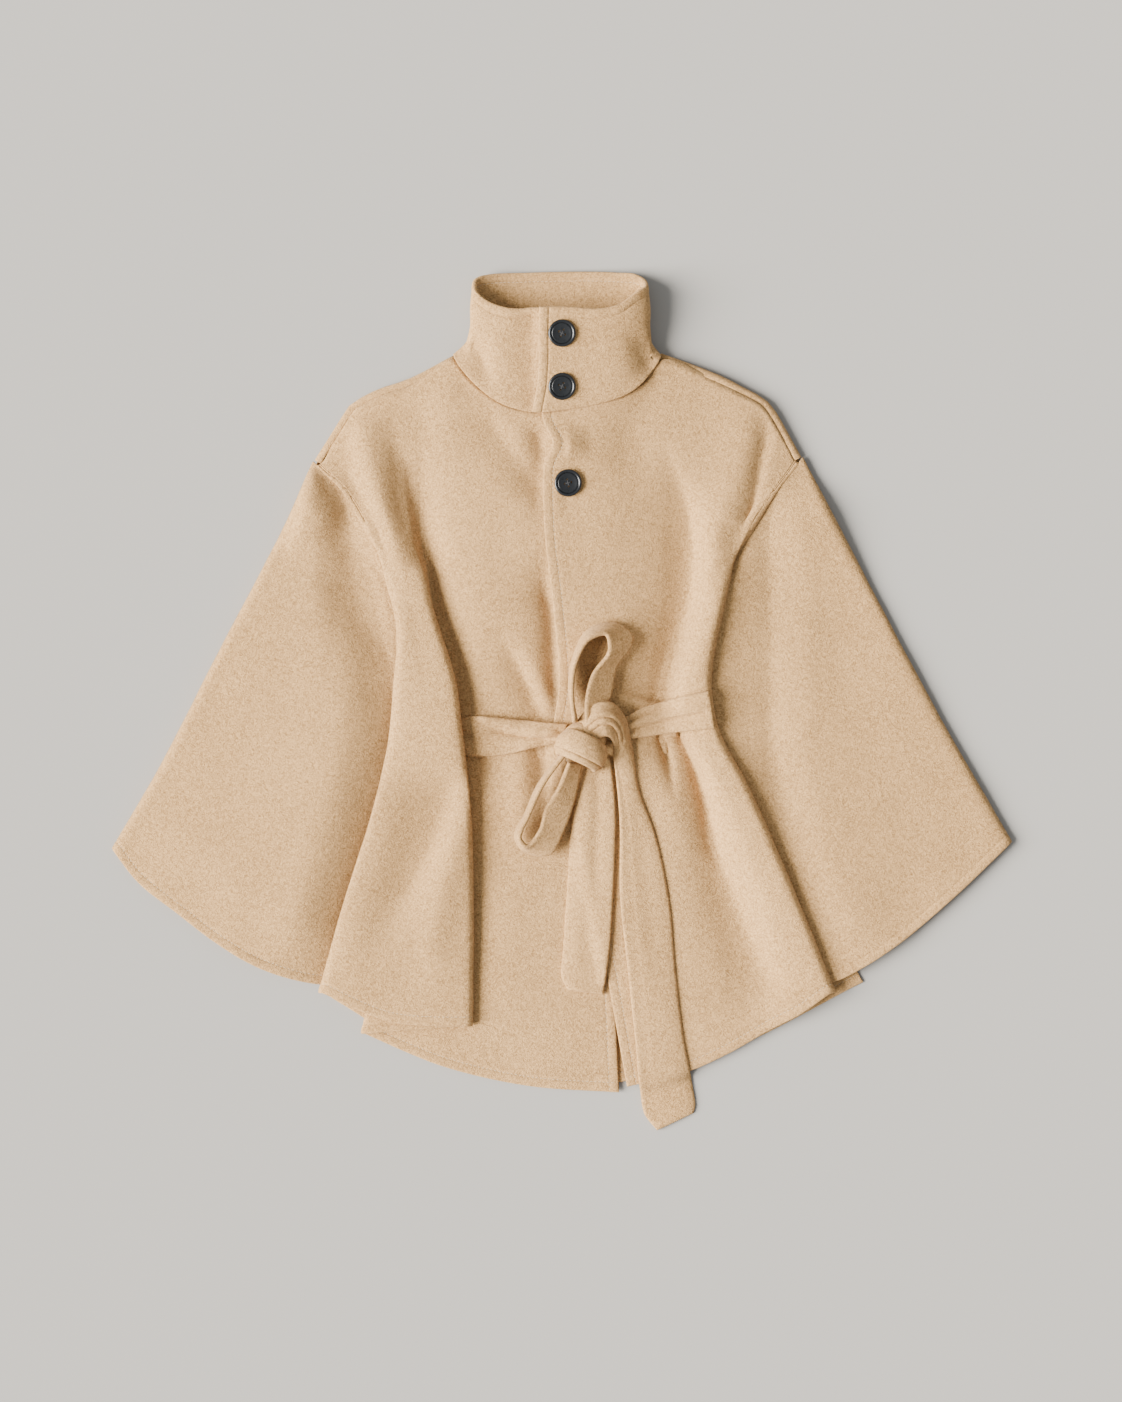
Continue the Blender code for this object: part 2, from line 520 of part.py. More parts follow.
def sleeve(name, shape, panel, column_of_seam, back_line, hand, material):
    """A sleeve laid flat: a tube folded at its outer edge and under the arm. hand is -1 at the left."""
    across = SLEEVE_COLUMNS
    armhole = armhole_line(panel, column_of_seam, shape)

    def flat(s, t):
        """Place on the flattened sleeve: s from outer fold to underarm, t from armhole to hem."""
        outer, under = along(shape["outer"], t), along(shape["under"], t)
        arm, hem = along(armhole, s)[:2], along(shape["hem"], s)
        arm_ends = np.array(armhole[0][:2]) * (1 - s) + np.array(armhole[-1][:2]) * s
        hem_ends = np.array(shape["hem"][0]) * (1 - s) + np.array(shape["hem"][-1]) * s
        return outer * (1 - s) + under * s + (1 - t) * (arm - arm_ends) + t * (hem - hem_ends)

    def share_across(k, width):
        """Share of the way across at a column: fine at the folds and over the edge of the back."""
        if k in (0, across):
            return k / across
        near = [1 - d / width for d in (*SLEEVE_UNDERARM_STEPS, UNDERARM_ROLL)]
        first = SLEEVE_ROLL / width
        wide = across - len(near)
        if k >= wide:
            return near[k - wide]
        return first + (near[0] - first) * (k - 1) / (wide - 1)

    def place(column, row):
        t = row / SLEEVE_ROWS
        upper = column <= across
        k = column if upper else 2 * across - column
        width = float(np.linalg.norm(flat(0, t) - flat(1, t)))
        s = share_across(k, width)
        x, y = flat(s, t)
        inside_back = hand * (by_y(back_line, y) - x)
        floor = FLOOR_LAYER + (CLOTH + SEAM_GAP) * ease((inside_back + BACK_EDGE_CLIMB) / BACK_EDGE_RAMP)
        clear = hand * (x - by_y(shape["side"], y))
        loft = drape(shape["drape"], y, clear)
        loft -= SLEEVE_FALL * ease(1 - s * width / FALL_RUN) * ease(t / FALL_START)
        loft *= 1 - HEM_FLATTENING * ease((t - 1 + HEM_FALL) / HEM_FALL)
        blend = ease(t / ARMHOLE_BLEND)
        top = along(armhole, s)[2] * (1 - blend) + (SLEEVE_UNDER_BODY + loft) * blend
        if k in (0, across):
            return x, y, (top + floor) / 2
        return x, y, top if upper else floor

    return sheet(name, 2 * across, SLEEVE_ROWS, place, CLOTH, material, closed=True)


def collar(material):
    """Stand collar of two walls, a puffed tube lying on its back, its ends lapped at the front."""
    def rounded(value):
        return math.copysign(abs(value) ** COLLAR_SQUARE, value)

    def place(column, row):
        turn = 360 + COLLAR_UNDER_ANGLE - COLLAR_OVER_ANGLE
        swept = column / COLLAR_COLUMNS * -(360 + COLLAR_OVER_ANGLE - COLLAR_UNDER_ANGLE)
        angle = math.radians(COLLAR_OVER_ANGLE + swept)
        h = row / COLLAR_ROWS
        middle, half, side, top, bottom = along(COLLAR_LEVELS, h)
        lap = COLLAR_LAP_DROP * ease((COLLAR_LAP_START - swept - turn) / COLLAR_LAP_RAMP)
        x = middle + (half - lap * COLLAR_LAP_INSET) * rounded(math.cos(angle))
        up = rounded(math.sin(angle))
        z = side + up * ((top - lap - side) if up > 0 else (side - bottom))
        front_share = ease(0.5 + up * COLLAR_SIDE_BLEND)
        seam = by_x(COLLAR_FRONT_SEAM, x) * front_share + by_x(COLLAR_BACK_SEAM, x) * (1 - front_share)
        rim = by_x(COLLAR_FRONT_RIM, x) * front_share + by_x(COLLAR_BACK_RIM, x) * (1 - front_share)
        return x, seam + (rim - seam) * h, z

    return sheet("collar", COLLAR_COLUMNS, COLLAR_ROWS, place, BAND, material, even=False)


# ---------------------------------------------------------------- pieces that lie on the cloth
class Ground:
    """What lies below a piece: the finished solids, met by a line straight down."""

    def __init__(self, *pieces):
        bpy.context.view_layer.update()
        depsgraph = bpy.context.evaluated_depsgraph_get()
        self.trees = [BVHTree.FromObject(piece, depsgraph) for piece in pieces]

    def height(self, x, y, start=200.0):
        """Top of what lies at a place, in millimetres."""
        best = 0.0
        for tree in self.trees:
            hit = tree.ray_cast(Vector((x, y, start)) * MM, Vector((0, 0, -1)))[0]
            if hit is not None:
                best = max(best, hit.z / MM)
        return best

    def highest(self, x, y, reach, start=200.0):
        """Highest of nine places round a point."""
        steps = (-reach, 0.0, reach)
        return max(self.height(x + dx, y + dy, start) for dx in steps for dy in steps)


def band(name, rungs, columns, rows, ground, material, start=200.0):
    """A flat band laid over the cloth, bridging its hollows."""
    spots = np.zeros((rows + 1, columns + 1, 3))
    for row in range(rows + 1):
        share = row / rows
        left = along([r.left for r in rungs], share)
        right = along([r.right for r in rungs], share)
        lift = along([(r.lift, 0.0) for r in rungs], share)[0]
        for column in range(columns + 1):
            x, y = left + (right - left) * column / columns
            z = ground.highest(x, y, BAND_REACH, start) + lift
            spots[row, column] = (x, y, z + SEAM_GAP * 2 + BAND / 2)
    for _ in range(BAND_SMOOTHING):
        height = spots[:, :, 2]
        padded = np.pad(height, 1, mode="edge")
        mean = (padded[:-2, 1:-1] + padded[2:, 1:-1] + padded[1:-1, :-2] + padded[1:-1, 2:]) / 4
        spots[:, :, 2] = np.maximum(height, mean)
    return sheet(name, columns, rows, lambda column, row: spots[row, column], BAND, material)


def loop(name, rungs, columns, rows, material):
    """A bow loop: a band standing on edge between its lower and its upper edge."""
    lower = [r[0] for r in rungs]
    upper = [r[1] for r in rungs]

    def place(column, row):
        share = row / rows
        low, high = along(lower, share), along(upper, share)
        return low + (high - low) * column / columns

    return sheet(name, columns, rows, place, BAND, material)


def knot_shape(grow):
    """Mesh of the knot, a crowned lump with the ridges of its wraps, grown by a distance."""
    bm = bmesh.new()
    bmesh.ops.create_uvsphere(bm, u_segments=28, v_segments=16, radius=0.5)
    turn = math.radians(KNOT_TURN)
    for vert in bm.verts:
        unit = vert.co * 2
        across = unit.x * math.cos(turn) + unit.y * math.sin(turn)
        ridge = KNOT_RIDGE_HEIGHT * math.cos(across * math.pi * KNOT_RIDGES / 2) * max(unit.z, 0.0)
        spread_out = [s / 2 + grow + (ridge if axis == 2 else 0.0) for axis, s in enumerate(KNOT_SIZE)]
        vert.co = Vector([KNOT_CENTRE[i] + unit[i] * spread_out[i] for i in range(3)]) * MM
    mesh = bpy.data.meshes.new("knot")
    bm.to_mesh(mesh)
    bm.free()
    return mesh


def make_room(pieces, mesh):
    """Cut the ends of the bands where they run into the knot."""
    cutter = bpy.data.objects.new("knot_room", mesh)
    bpy.data.collections["cutters"].objects.link(cutter)
    cutter.hide_render = True
    cutter.display_type = "WIRE"
    for piece in pieces:
        cut = piece.modifiers.new("room for the knot", "BOOLEAN")
        cut.operation = "DIFFERENCE"
        cut.object = cutter


def button(name, x, y, ground, material):
    """A sewn button with a raised rim, a dished face and four holes, lying on the cloth below it."""
    around = [(x + BUTTON_RADIUS * math.cos(a), y + BUTTON_RADIUS * math.sin(a))
              for a in np.linspace(0, 2 * math.pi, 9)[:-1]]
    spots = [Vector((px, py, ground.height(px, py))) for px, py in [*around, (x, y)]]
    flat = np.array([(p.x, p.y, 1) for p in spots])
    slope = np.linalg.lstsq(flat, np.array([p.z for p in spots]), rcond=None)[0]
    normal = Vector((-slope[0], -slope[1], 1)).normalized()
    centre = Vector((x, y, slope[0] * x + slope[1] * y + slope[2]))
    lift = max((p - centre).dot(normal) for p in spots) + SEAM_GAP
    inner = BUTTON_RADIUS - BUTTON_RIM
    face = BUTTON_THICK - BUTTON_DISH
    profile = ((0.0, face - 0.3), (inner * 0.6, face - 0.2), (inner, face),
               (inner + 0.5, BUTTON_THICK - 0.2), (BUTTON_RADIUS - 0.9, BUTTON_THICK),
               (BUTTON_RADIUS, BUTTON_THICK - 1.2),
               (BUTTON_RADIUS - 0.6, 0.9), (BUTTON_RADIUS - 3.2, 0.0), (0.0, 0.0))
    bm = bmesh.new()
    corners = [bm.verts.new(Vector((r, 0, z)) * MM) for r, z in profile]
    for a, b in zip(corners, corners[1:]):
        bm.edges.new((a, b))
    mesh = bpy.data.meshes.new(name)
    bm.to_mesh(mesh)
    bm.free()
    piece = add_piece(name, mesh, material)
    turned_shape = piece.modifiers.new("turned", "SCREW")
    turned_shape.steps = turned_shape.render_steps = 24
    turned_shape.use_merge_vertices = True
    turned_shape.merge_threshold = 0.00001
    turned_shape.use_smooth_shade = True
    piece.rotation_euler = normal.to_track_quat("Z", "Y").to_euler()
    piece.location = (centre + normal * lift) * MM
    drill = holes(f"{name}_holes")
    drill.parent = piece
    cut = piece.modifiers.new("holes", "BOOLEAN")
    cut.operation = "DIFFERENCE"
    cut.object = drill
    return piece


def holes(name):
    """Cutter of the four thread holes."""
    bm = bmesh.new()
    half = BUTTON_HOLE_SPACING / 2
    for side, end in ((-1, -1), (-1, 1), (1, -1), (1, 1)):
        made = bmesh.ops.create_cone(bm, cap_ends=True, segments=8, radius1=BUTTON_HOLE_RADIUS * MM,
                                     radius2=BUTTON_HOLE_RADIUS * MM, depth=3 * BUTTON_THICK * MM)
        bmesh.ops.translate(bm, verts=made["verts"], vec=Vector((side * half, end * half, 0)) * MM)
    mesh = bpy.data.meshes.new(name)
    bm.to_mesh(mesh)
    bm.free()
    drill = bpy.data.objects.new(name, mesh)
    bpy.data.collections["cutters"].objects.link(drill)
    drill.hide_render = True
    drill.display_type = "WIRE"
    return drill


# ---------------------------------------------------------------- materials and assembly
def finish(name, colour, roughness):
    """A plain Principled material."""
    material = bpy.data.materials.new(name)
    material.use_nodes = True
    shader = material.node_tree.nodes["Principled BSDF"]
    shader.inputs["Base Color"].default_value = (*colour, 1.0)
    shader.inputs["Roughness"].default_value = roughness
    shader.inputs["Metallic"].default_value = 0.0
    return material


def main():
    """Build the cape."""
    for old in list(bpy.data.objects):
        bpy.data.objects.remove(old)
    for name in ("wool_cape", "cutters"):
        bpy.context.scene.collection.children.link(bpy.data.collections.new(name))

    def wool(name):
        return finish(f"wool {name}", WOOL_COLOUR, 0.92)

    back = back_panel(wool("back"))
    left_panel, left = front("front_left", LEFT_FRONT, left_section, LEFT_COLUMNS, LEFT_ROWS, LEFT_SHOULDER,
                             LEFT_NECK, wool("front left"))
    right_panel, right = front("front_right", RIGHT_FRONT, right_section, RIGHT_COLUMNS, RIGHT_ROWS,
                               RIGHT_SHOULDER, RIGHT_NECK, wool("front right"))
    sleeve("sleeve_left", LEFT_SLEEVE, left_panel, 0, [level.points[0] for level in BACK], -1,
           wool("sleeve left"))
    sleeve("sleeve_right", RIGHT_SLEEVE, right_panel, len(right_panel.columns) - 1,
           [level.points[-1] for level in BACK], 1, wool("sleeve right"))
    neck = collar(wool("collar"))
    band("belt_inside", BELT_INSIDE, 2, 6, Ground(back), wool("belt inside"), start=5.0)
    ground = Ground(back, left, right)
    waist_left = band("belt_left", BELT_LEFT, 5, 18, ground, wool("belt left"), start=16.0)
    waist_right = band("belt_right", BELT_RIGHT, 5, 16, ground, wool("belt right"))
    tail_short = band("belt_tail_short", SHORT_TAIL, 4, 18, ground, wool("short tail"))
    tail_long = band("belt_tail_long", LONG_TAIL, 5, 30, ground, wool("long tail"))
    loop_up = loop("bow_loop_up", LOOP_UP, 4, 40, wool("upper loop"))
    loop_down = loop("bow_loop_down", LOOP_DOWN, 4, 40, wool("lower loop"))
    add_piece("belt_knot", knot_shape(0.0), wool("knot"))
    make_room((waist_left, waist_right, tail_short, tail_long, loop_up, loop_down), knot_shape(SEAM_GAP))
    fastened = Ground(right, neck)
    for number, (x, y) in enumerate(BUTTONS, start=1):
        button(f"button_{number}", x, y, fastened, finish(f"button {number}", BUTTON_COLOUR, 0.25))


main()
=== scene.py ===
"""A belted wool cape laid flat: brushed cloth, pressed folds, sewing, knot and buttons.

Tables are in millimetres: x to the right, y towards the collar, z up from the floor. Left and right
are the sides seen from above. Every piece of cloth is a grid whose corners are placed by a function
of the garment's levels, drawn closer together beside an edge, and given its wall by Solidify.
"""

import math
from collections import namedtuple

import bmesh
import bpy
import numpy as np
from bpy.props import FloatProperty, FloatVectorProperty, IntProperty, PointerProperty
from mathutils import Matrix, Vector, noise
from mathutils.bvhtree import BVHTree


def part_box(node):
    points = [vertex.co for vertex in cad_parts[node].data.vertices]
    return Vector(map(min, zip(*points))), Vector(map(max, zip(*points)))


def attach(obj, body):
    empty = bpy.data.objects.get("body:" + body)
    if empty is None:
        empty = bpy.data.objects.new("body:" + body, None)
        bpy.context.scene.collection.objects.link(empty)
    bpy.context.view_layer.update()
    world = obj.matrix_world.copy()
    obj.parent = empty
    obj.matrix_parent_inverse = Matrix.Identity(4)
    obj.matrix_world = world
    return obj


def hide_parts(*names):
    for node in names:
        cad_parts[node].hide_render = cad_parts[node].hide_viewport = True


bl_info = {
    "name": "Wool Cape",
    "version": (1, 0, 0),
    "blender": (4, 5, 0),
    "location": "View3D > Sidebar > Cape",
    "description": "Dresses a belted wool cape laid flat: cloth, sewing, knot, buttons and stage",
    "category": "Object",
}

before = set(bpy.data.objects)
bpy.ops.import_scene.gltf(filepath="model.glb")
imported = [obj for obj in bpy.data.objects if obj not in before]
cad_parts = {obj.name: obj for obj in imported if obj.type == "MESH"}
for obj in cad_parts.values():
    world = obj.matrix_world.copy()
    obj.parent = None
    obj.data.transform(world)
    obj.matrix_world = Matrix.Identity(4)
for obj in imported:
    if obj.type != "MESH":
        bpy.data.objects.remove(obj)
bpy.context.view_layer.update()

MM = 0.001
PULL = 2.5                  # how far a tight bend may steer the long run beside it
FLOOR_LAYER = 1.2           # height of a layer lying on the floor, at the middle of its wall
SIDE_ROLL = 3.6             # radius of the fold along each side of the body
PLEAT_ROLL = 3.2            # radius of the visible fold of the left pleat
TUCK_ROLL = 2.0             # radius of the hidden fold of the left pleat
SHOULDER_WRAP = 6.4         # how far the back comes over the shoulder to its seam
SHOULDER_TIP_WRAP = 2.5     # the same at the armhole, where the seam runs out
COLLAR_SQUARE = 0.72        # 1 is an oval collar, less is squarer
WALL_REACH = 1.3            # the thickest place of a wall, as a share of its plain thickness
LOWEST_FRONT = 3.9          # the fronts never press below the back panel

Level = namedtuple("Level", "name side_turn pleat_turn points")
Rung = namedtuple("Rung", "left right lift")
Fold = namedtuple("Fold", "name points west east height rise fall power")
Crease = namedtuple("Crease", "start end height width")
Line = namedtuple("Line", "distance wall")
Stretch = namedtuple("Stretch", "name node rungs columns rows creases start droop flat")

# Lines drawn beside a turned edge, and how thick the wall is on each, as a share.
HEM = (
    Line(0.0, 0.16), Line(0.3, 0.56), Line(0.9, 0.86), Line(2.0, 1.06), Line(4.5, 1.18),
    Line(7.6, 1.14), Line(8.9, 0.95), Line(9.5, 0.7), Line(10.1, 0.92), Line(12.0, 1.0), Line(16.0, 1.0),
)
SEAM = (Line(0.0, 0.8), Line(0.35, 0.92), Line(0.9, 1.0), Line(2.2, 1.03), Line(5.0, 1.04), Line(10.0, 1.0))
RIM = (Line(0.0, 0.3), Line(0.5, 0.66), Line(1.4, 0.92), Line(3.2, 1.05))
STITCH_LINE = 7             # which line of the hem carries the topstitching

# ---------------------------------------------------------------- the body
# The front lying underneath, at the left. A turn of 1 is a full fold, 0 is flat.
# Lines: side seam, side fold, crest, pleat edge, pleat tuck, neck line, middle, front edge.
LEFT_FRONT = (
    Level("shoulder", 0, 0, (
        (-246, 238, 7), (-238, 246, 8), (-199, 292, 10), (-164, 309, 10.5),
        (-137, 322, 11.2), (-107, 340, 13), (-52, 291, 19), (35, 296, 19))),
    Level("armhole", 0, 0, (
        (-225, 218, 14.5), (-218, 224, 15.5), (-190, 247, 17), (-164, 256, 15.5),
        (-138, 260, 13), (-107, 266, 15.5), (-47, 252, 21), (36, 250, 19))),
    Level("armhole foot", 0, 0.2, (
        (-189, 159, 13), (-186, 168, 17), (-171, 171, 23), (-153, 172, 19.5),
        (-139, 173, 9.5), (-112, 176, 16.5), (-50, 179, 20), (37, 179, 18.5))),
    Level("above the bust", 0.6, 0.65, (
        (-160, 118, 11.6), (-176, 126, 18.5), (-158, 128, 25), (-139, 131, 22),
        (-136, 131, 7.5), (-108, 132, 16.5), (-44, 134, 19.5), (37.5, 134, 18))),
    Level("bust", 1, 1, (
        (-134, 80, 11.2), (-165, 82, 21), (-147, 84, 26), (-128, 90, 22),
        (-131, 90, 6.5), (-96, 90, 15), (-37, 92, 19), (38, 92, 17.5))),
    Level("above the belt", 1, 1, (
        (-138, 12, 11.2), (-167, 10, 22.5), (-136, 12, 29), (-105, 12, 25),
        (-115, 12, 7.5), (-78, 12, 13), (-32, 12, 17), (40, 12, 15))),
    Level("belt", 1, 1, (
        (-142, -40, 11.2), (-172, -40, 22.5), (-136, -38, 31), (-99.5, -34, 27.5),
        (-125, -34, 9.4), (-84, -34, 9.5), (-32, -34, 12), (42, -34, 11.5))),
    Level("below the belt", 1, 1, (
        (-155, -103, 11.2), (-186, -103, 23), (-140, -103, 28), (-92, -103, 23),
        (-137, -103, 8.6), (-92, -103, 8.5), (-32, -106, 12.5), (45, -106, 11))),
    Level("skirt", 1, 1, (
        (-184, -196, 11.2), (-215, -196, 21), (-154, -200, 26), (-89, -204, 19.5),
        (-169, -204, 8.2), (-107, -213, 7.5), (-34, -223, 10.5), (50, -233, 7.5))),
    Level("hem", 1, 1, (
        (-212, -298, 11.2), (-242, -290, 14.6), (-173, -318, 17.5), (-90, -323, 13.5),
        (-200, -331, 7.6), (-122, -363, 4.6), (-37, -383, 4.4), (57, -390, 4.2))),
)
# The front lying on top, at the right.
# Lines: front edge, middle, neck line, trough, ridge, side fold, side seam.
RIGHT_FRONT = (
    Level("shoulder", 0, 0, (
        (-20.5, 287, 26), (43, 297, 24), (97, 335, 14), (138, 326, 11),
        (190, 298, 10), (229, 250, 8), (237, 242, 7))),
    Level("armhole", 0, 0, (
        (-19, 232, 26.5), (41, 234, 24), (93, 240, 18.5), (131, 240, 15.5),
        (173, 238, 15), (212, 222, 13), (219, 218, 12))),
    Level("armhole foot", 0, 0, (
        (-17.5, 171, 25), (43, 172, 23), (93, 174, 18.5), (128, 174, 15.5),
        (156, 174, 22), (179, 168, 18), (182, 159, 13))),
    Level("bust", 1, 0, (
        (-9, 97, 24), (50, 99, 22), (93, 100, 18), (124, 101, 14.5),
        (145, 102, 24), (162, 102, 21.5), (133, 96, 11.2))),
    Level("above the belt", 1, 0, (
        (-3.5, 12, 21.5), (50, 12, 19.5), (83, 13, 15.5), (104, 14, 12),
        (126, 14, 24), (148, 12, 22), (121, 8, 11.2))),
    Level("belt", 1, 0, (
        (-9, -35, 16), (46, -30, 16), (83, -24, 13.5), (106, -22, 12.5),
        (130, -20, 21), (153, -20, 20.5), (126, -24, 11.2))),
    Level("below the belt", 1, 0, (
        (2, -83, 16), (63, -85, 18), (102, -84, 17), (136, -83, 13),
        (162, -83, 25), (185, -85, 22.5), (154, -91, 11.2))),
    Level("skirt", 1, 0, (
        (30, -198, 13), (88, -201, 15.5), (133, -198, 14.5), (173, -195, 12),
        (206, -198, 24), (235, -200, 21.5), (203, -206, 11.2))),
    Level("hem", 1, 0, (
        (65, -384, 8), (126, -369, 7), (168, -350, 7.5), (208, -327, 9),
        (238, -311, 15), (272, -290, 14.6), (240, -300, 11.2))),
)
LEFT_STEPS = (24, 5, 5, 11, 13, 5, 5, 13, 4, 4, 14, 16, 32)
RIGHT_STEPS = (30, 14, 13, 12, 11, 5, 5, 24)
LEFT_ROWS = (12, 16, 10, 10, 18, 12, 14, 22, 40)
RIGHT_ROWS = (12, 16, 18, 18, 12, 14, 22, 40)
SEAM_SPARE, HEM_SPARE, FRONT_SPARE = 4, 20, 13

LEFT_SHOULDER = ((-250, 234), (-246, 241), (-235, 259), (-221, 281), (-215, 291), (-209, 298), (-200, 303),
                 (-186, 310), (-154, 321), (-109, 345))
RIGHT_SHOULDER = ((100, 347), (166, 321), (189, 309), (199, 304), (207, 297), (214, 287), (222, 273),
                  (233, 253), (238, 244), (242, 237))
LEFT_NECK = ((-107, 341), (-99, 330), (-81, 311), (-58, 295.5), (-39, 289.6), (-21, 287.6), (5, 290.6),
             (38, 297.6))
RIGHT_NECK = ((-20.5, 287.8), (5, 290.8), (45, 298.8), (66, 306.8), (85, 322.7), (97, 339.5))
BACK_NECK = ((-106, 341), (-60, 331), (-6, 328), (50, 331), (97, 343))
SHOULDER_HEIGHTS = ((103, 13), (134, 11), (194, 9.5), (238, 7.5))
NECK_MIDDLE = -4.0

# The back, flat on the floor. Lines: left side, left neck line, middle, right neck line, right side.
BACK = (
    Level("shoulder", 0, 0, ((-246, 236), (-115, 328), (-6, 318), (106, 330), (238, 239))),
    Level("armhole", 0, 0, ((-219, 212), (-108, 230), (-5, 230), (100, 230), (213, 212))),
    Level("armhole foot", 0, 0, ((-182, 158), (-105, 170), (-4, 170), (96, 170), (176, 156))),
    Level("bust", 0, 0, ((-157, 82), (-95, 90), (-2, 90), (85, 90), (154, 96))),
    Level("belt", 0, 0, ((-164, -40), (-95, -40), (0, -40), (85, -35), (160, -25))),
    Level("skirt", 0, 0, ((-206, -196), (-115, -210), (10, -210), (125, -205), (250, -190))),
    Level("hem", 0, 0, ((-230, -296), (-128, -355), (20, -384), (160, -350), (301, -280))),
)
BACK_STEPS = (30, 16, 16, 30)
BACK_ROWS = (12, 10, 12, 16, 18, 40)
# The back's turn over the shoulder: distance in from the outline, share of the rise.
BACK_WRAP = ((6.3, 1.0), (4.8, 1.0), (3.2, 0.99), (1.6, 0.93), (0.5, 0.75), (0.0, 0.5), (0.4, 0.22),
             (1.8, 0.05))
BACK_NECK_TURN = 3.6

SLEEVE_ACROSS, SLEEVE_DOWN = 58, 96
SLEEVE_UNDER_BODY = 7.0     # height of the upper layer where the body lies on it
# How the upper layer leaves the body, level by level: y, distance from the body's side at which it
# rises, run of the rise, how steeply it starts, its loft, then height and run of a swell at the side.
LEFT_DRAPE = ((-300, 0, 60, 1, 12, 0, 9), (-140, 0, 66, 1, 14, 0, 9), (-40, 0, 82, 1, 14.5, 0, 9),
              (0, 0, 82, 0.9, 14.5, 0, 9), (42, 4, 80, 0.3, 14.5, 0, 9), (82, 28, 56, 0, 14.5, 0, 9),
              (122, 32, 48, 0, 14, 0, 9), (162, 24, 42, 0, 13, 0, 9), (200, 14, 34, 0, 12, 0, 9))
RIGHT_DRAPE = ((-300, -12, 12, 0, 7, 0, 9), (-150, -12, 12, 0, 7, 0, 9), (-98, -12, 12, 0, 5, 2, 20),
               (-58, -12, 12, 0, 4, 4, 34), (-18, -12, 12, 0, 3.5, 4.5, 56), (22, -12, 12, 0, 3.5, 5.5, 60),
               (62, -12, 12, 0, 3.5, 5.5, 54), (102, -12, 12, 0, 3.5, 5.5, 48), (142, -12, 12, 0, 4, 4.5, 34),
               (182, -12, 12, 0, 5, 3, 20))
SLEEVE_CROWN = 5.0          # how much higher a sleeve lies away from the body
SLEEVE_FOLD_REACH = 9.0     # how far in from its outer fold a sleeve is still rounding
ARMHOLE_FOOT = 11.0         # height of the sleeve where it goes under the body
ARMHOLE_LAP = 1.6           # how far the sleeve reaches under the edge of the front
ARMHOLE_DROP = 0.5          # how far it lies beneath that edge
ARMHOLE_RUN = 0.15          # share of a sleeve's length over which it leaves the armhole
BACK_STEP_START = 36        # distance outside the back's side at which its lower layer starts to climb
BACK_STEP_RUN = 24          # distance over which it climbs
FALL_RUN = 0.35             # share of its length over which the drop towards its outer fold sets in
HEM_SETTLE = 0.5            # share of its loft that it loses at the hem
HEM_SETTLE_FROM = 0.82      # share of its length at which it begins to settle
PRESS_ENTRY = 10            # distance from the body's side over which its folds set in
PRESS_RUN = 0.06            # share of its length over which they set in
STEEP_POWER = 3.0           # how sharply the steepest drape leaves the body
CROWN_RUN = 45              # distance over which a sleeve reaches its crown
BACK_LAYER_RISE = 2.7       # how far a sleeve's lower layer climbs onto the back
UNDERARM_ROLL = 3.0         # how far in from its underarm fold a sleeve is still rounding
LEAST_ROOM = 3.2            # least height of a sleeve's upper layer over its lower one
ACROSS_CROWDING = 0.08      # how much closer its columns stand beside the two folds
# Sleeves: outer fold from shoulder to hem, underarm fold, end of the armhole under the body, hem,
# the side fold of the body that lies over the sleeve, and how much lower the sleeve lies towards
# its outer fold, over what distance.
LEFT_SLEEVE = dict(
    outer=((-248, 240), (-270, 189), (-292, 145), (-342, 50), (-402, -67), (-449, -147)),
    under=((-157, 112), (-138, 62), (-140, 10), (-147, -43), (-165, -132), (-194, -227), (-210, -283)),
    armhole=((-175, 141, 8.5), (-157, 112, 7.0)),
    hem=((-449, -147), (-424, -179), (-385, -210), (-347, -239), (-309, -262), (-271, -276),
         (-242, -282), (-210, -283)),
    side=((-186, 168), (-165, 82), (-167, 10), (-172, -40), (-186, -103), (-215, -196), (-242, -290)),
    drape=LEFT_DRAPE, fall=(14.0, 190.0),
)
RIGHT_SLEEVE = dict(
    outer=((240, 244), (310, 110), (379, -19), (449, -140)),
    under=((150, 115), (134, 80), (121, 12), (127, -25), (157, -85), (207, -198), (243, -283)),
    armhole=((167, 141, 8.5), (150, 115, 7.0)),
    hem=((449, -140), (388, -198), (338, -240), (302, -264), (272, -279), (243, -283)),
    side=((179, 168), (162, 102), (148, 12), (153, -20), (185, -85), (235, -200), (272, -290)),
    drape=RIGHT_DRAPE, fall=(7.0, 130.0),
)

# Collar, from the neck seam to the rim: middle x, half width, then heights at side, front and back.
COLLAR_LEVELS = ((-5.0, 103.0, 13.0, 25.0, 3.6), (-3.0, 90.5, 16.0, 30.5, 3.0), (-2.0, 87.5, 19.0, 35.0, 2.7),
                 (-2.0, 87.5, 21.0, 38.5, 2.7), (-2.0, 85.0, 22.0, 41.0, 2.7))
COLLAR_FRONT_RIM = ((-90, 414), (-87, 411), (-83, 406), (-74, 398.5), (-58, 392), (-42, 390), (-26, 391),
                    (13, 391), (31, 389.5), (46, 391), (58, 395), (66, 401), (75, 408), (82, 412),
                    (86, 414))
COLLAR_BACK_RIM = ((-90, 414), (-88, 419), (-83, 424), (-74, 426.6), (-33, 429), (53, 429), (74, 426.6),
                   (80, 423), (84, 418), (86, 414))
COLLAR_FRONT_SEAM = ((-109, 346), (-104, 337), (-98, 329), (-82, 312), (-58, 296), (-39, 290), (-21, 288),
                     (5, 291), (45, 299), (66, 307), (85, 323), (94, 335), (99, 344))
COLLAR_BACK_SEAM = ((-108, 345), (-60, 336), (-6, 333), (50, 336), (98, 344))
COLLAR_OVER_ANGLE = 98.0    # where the end on top lies, degrees round the tube from its right side
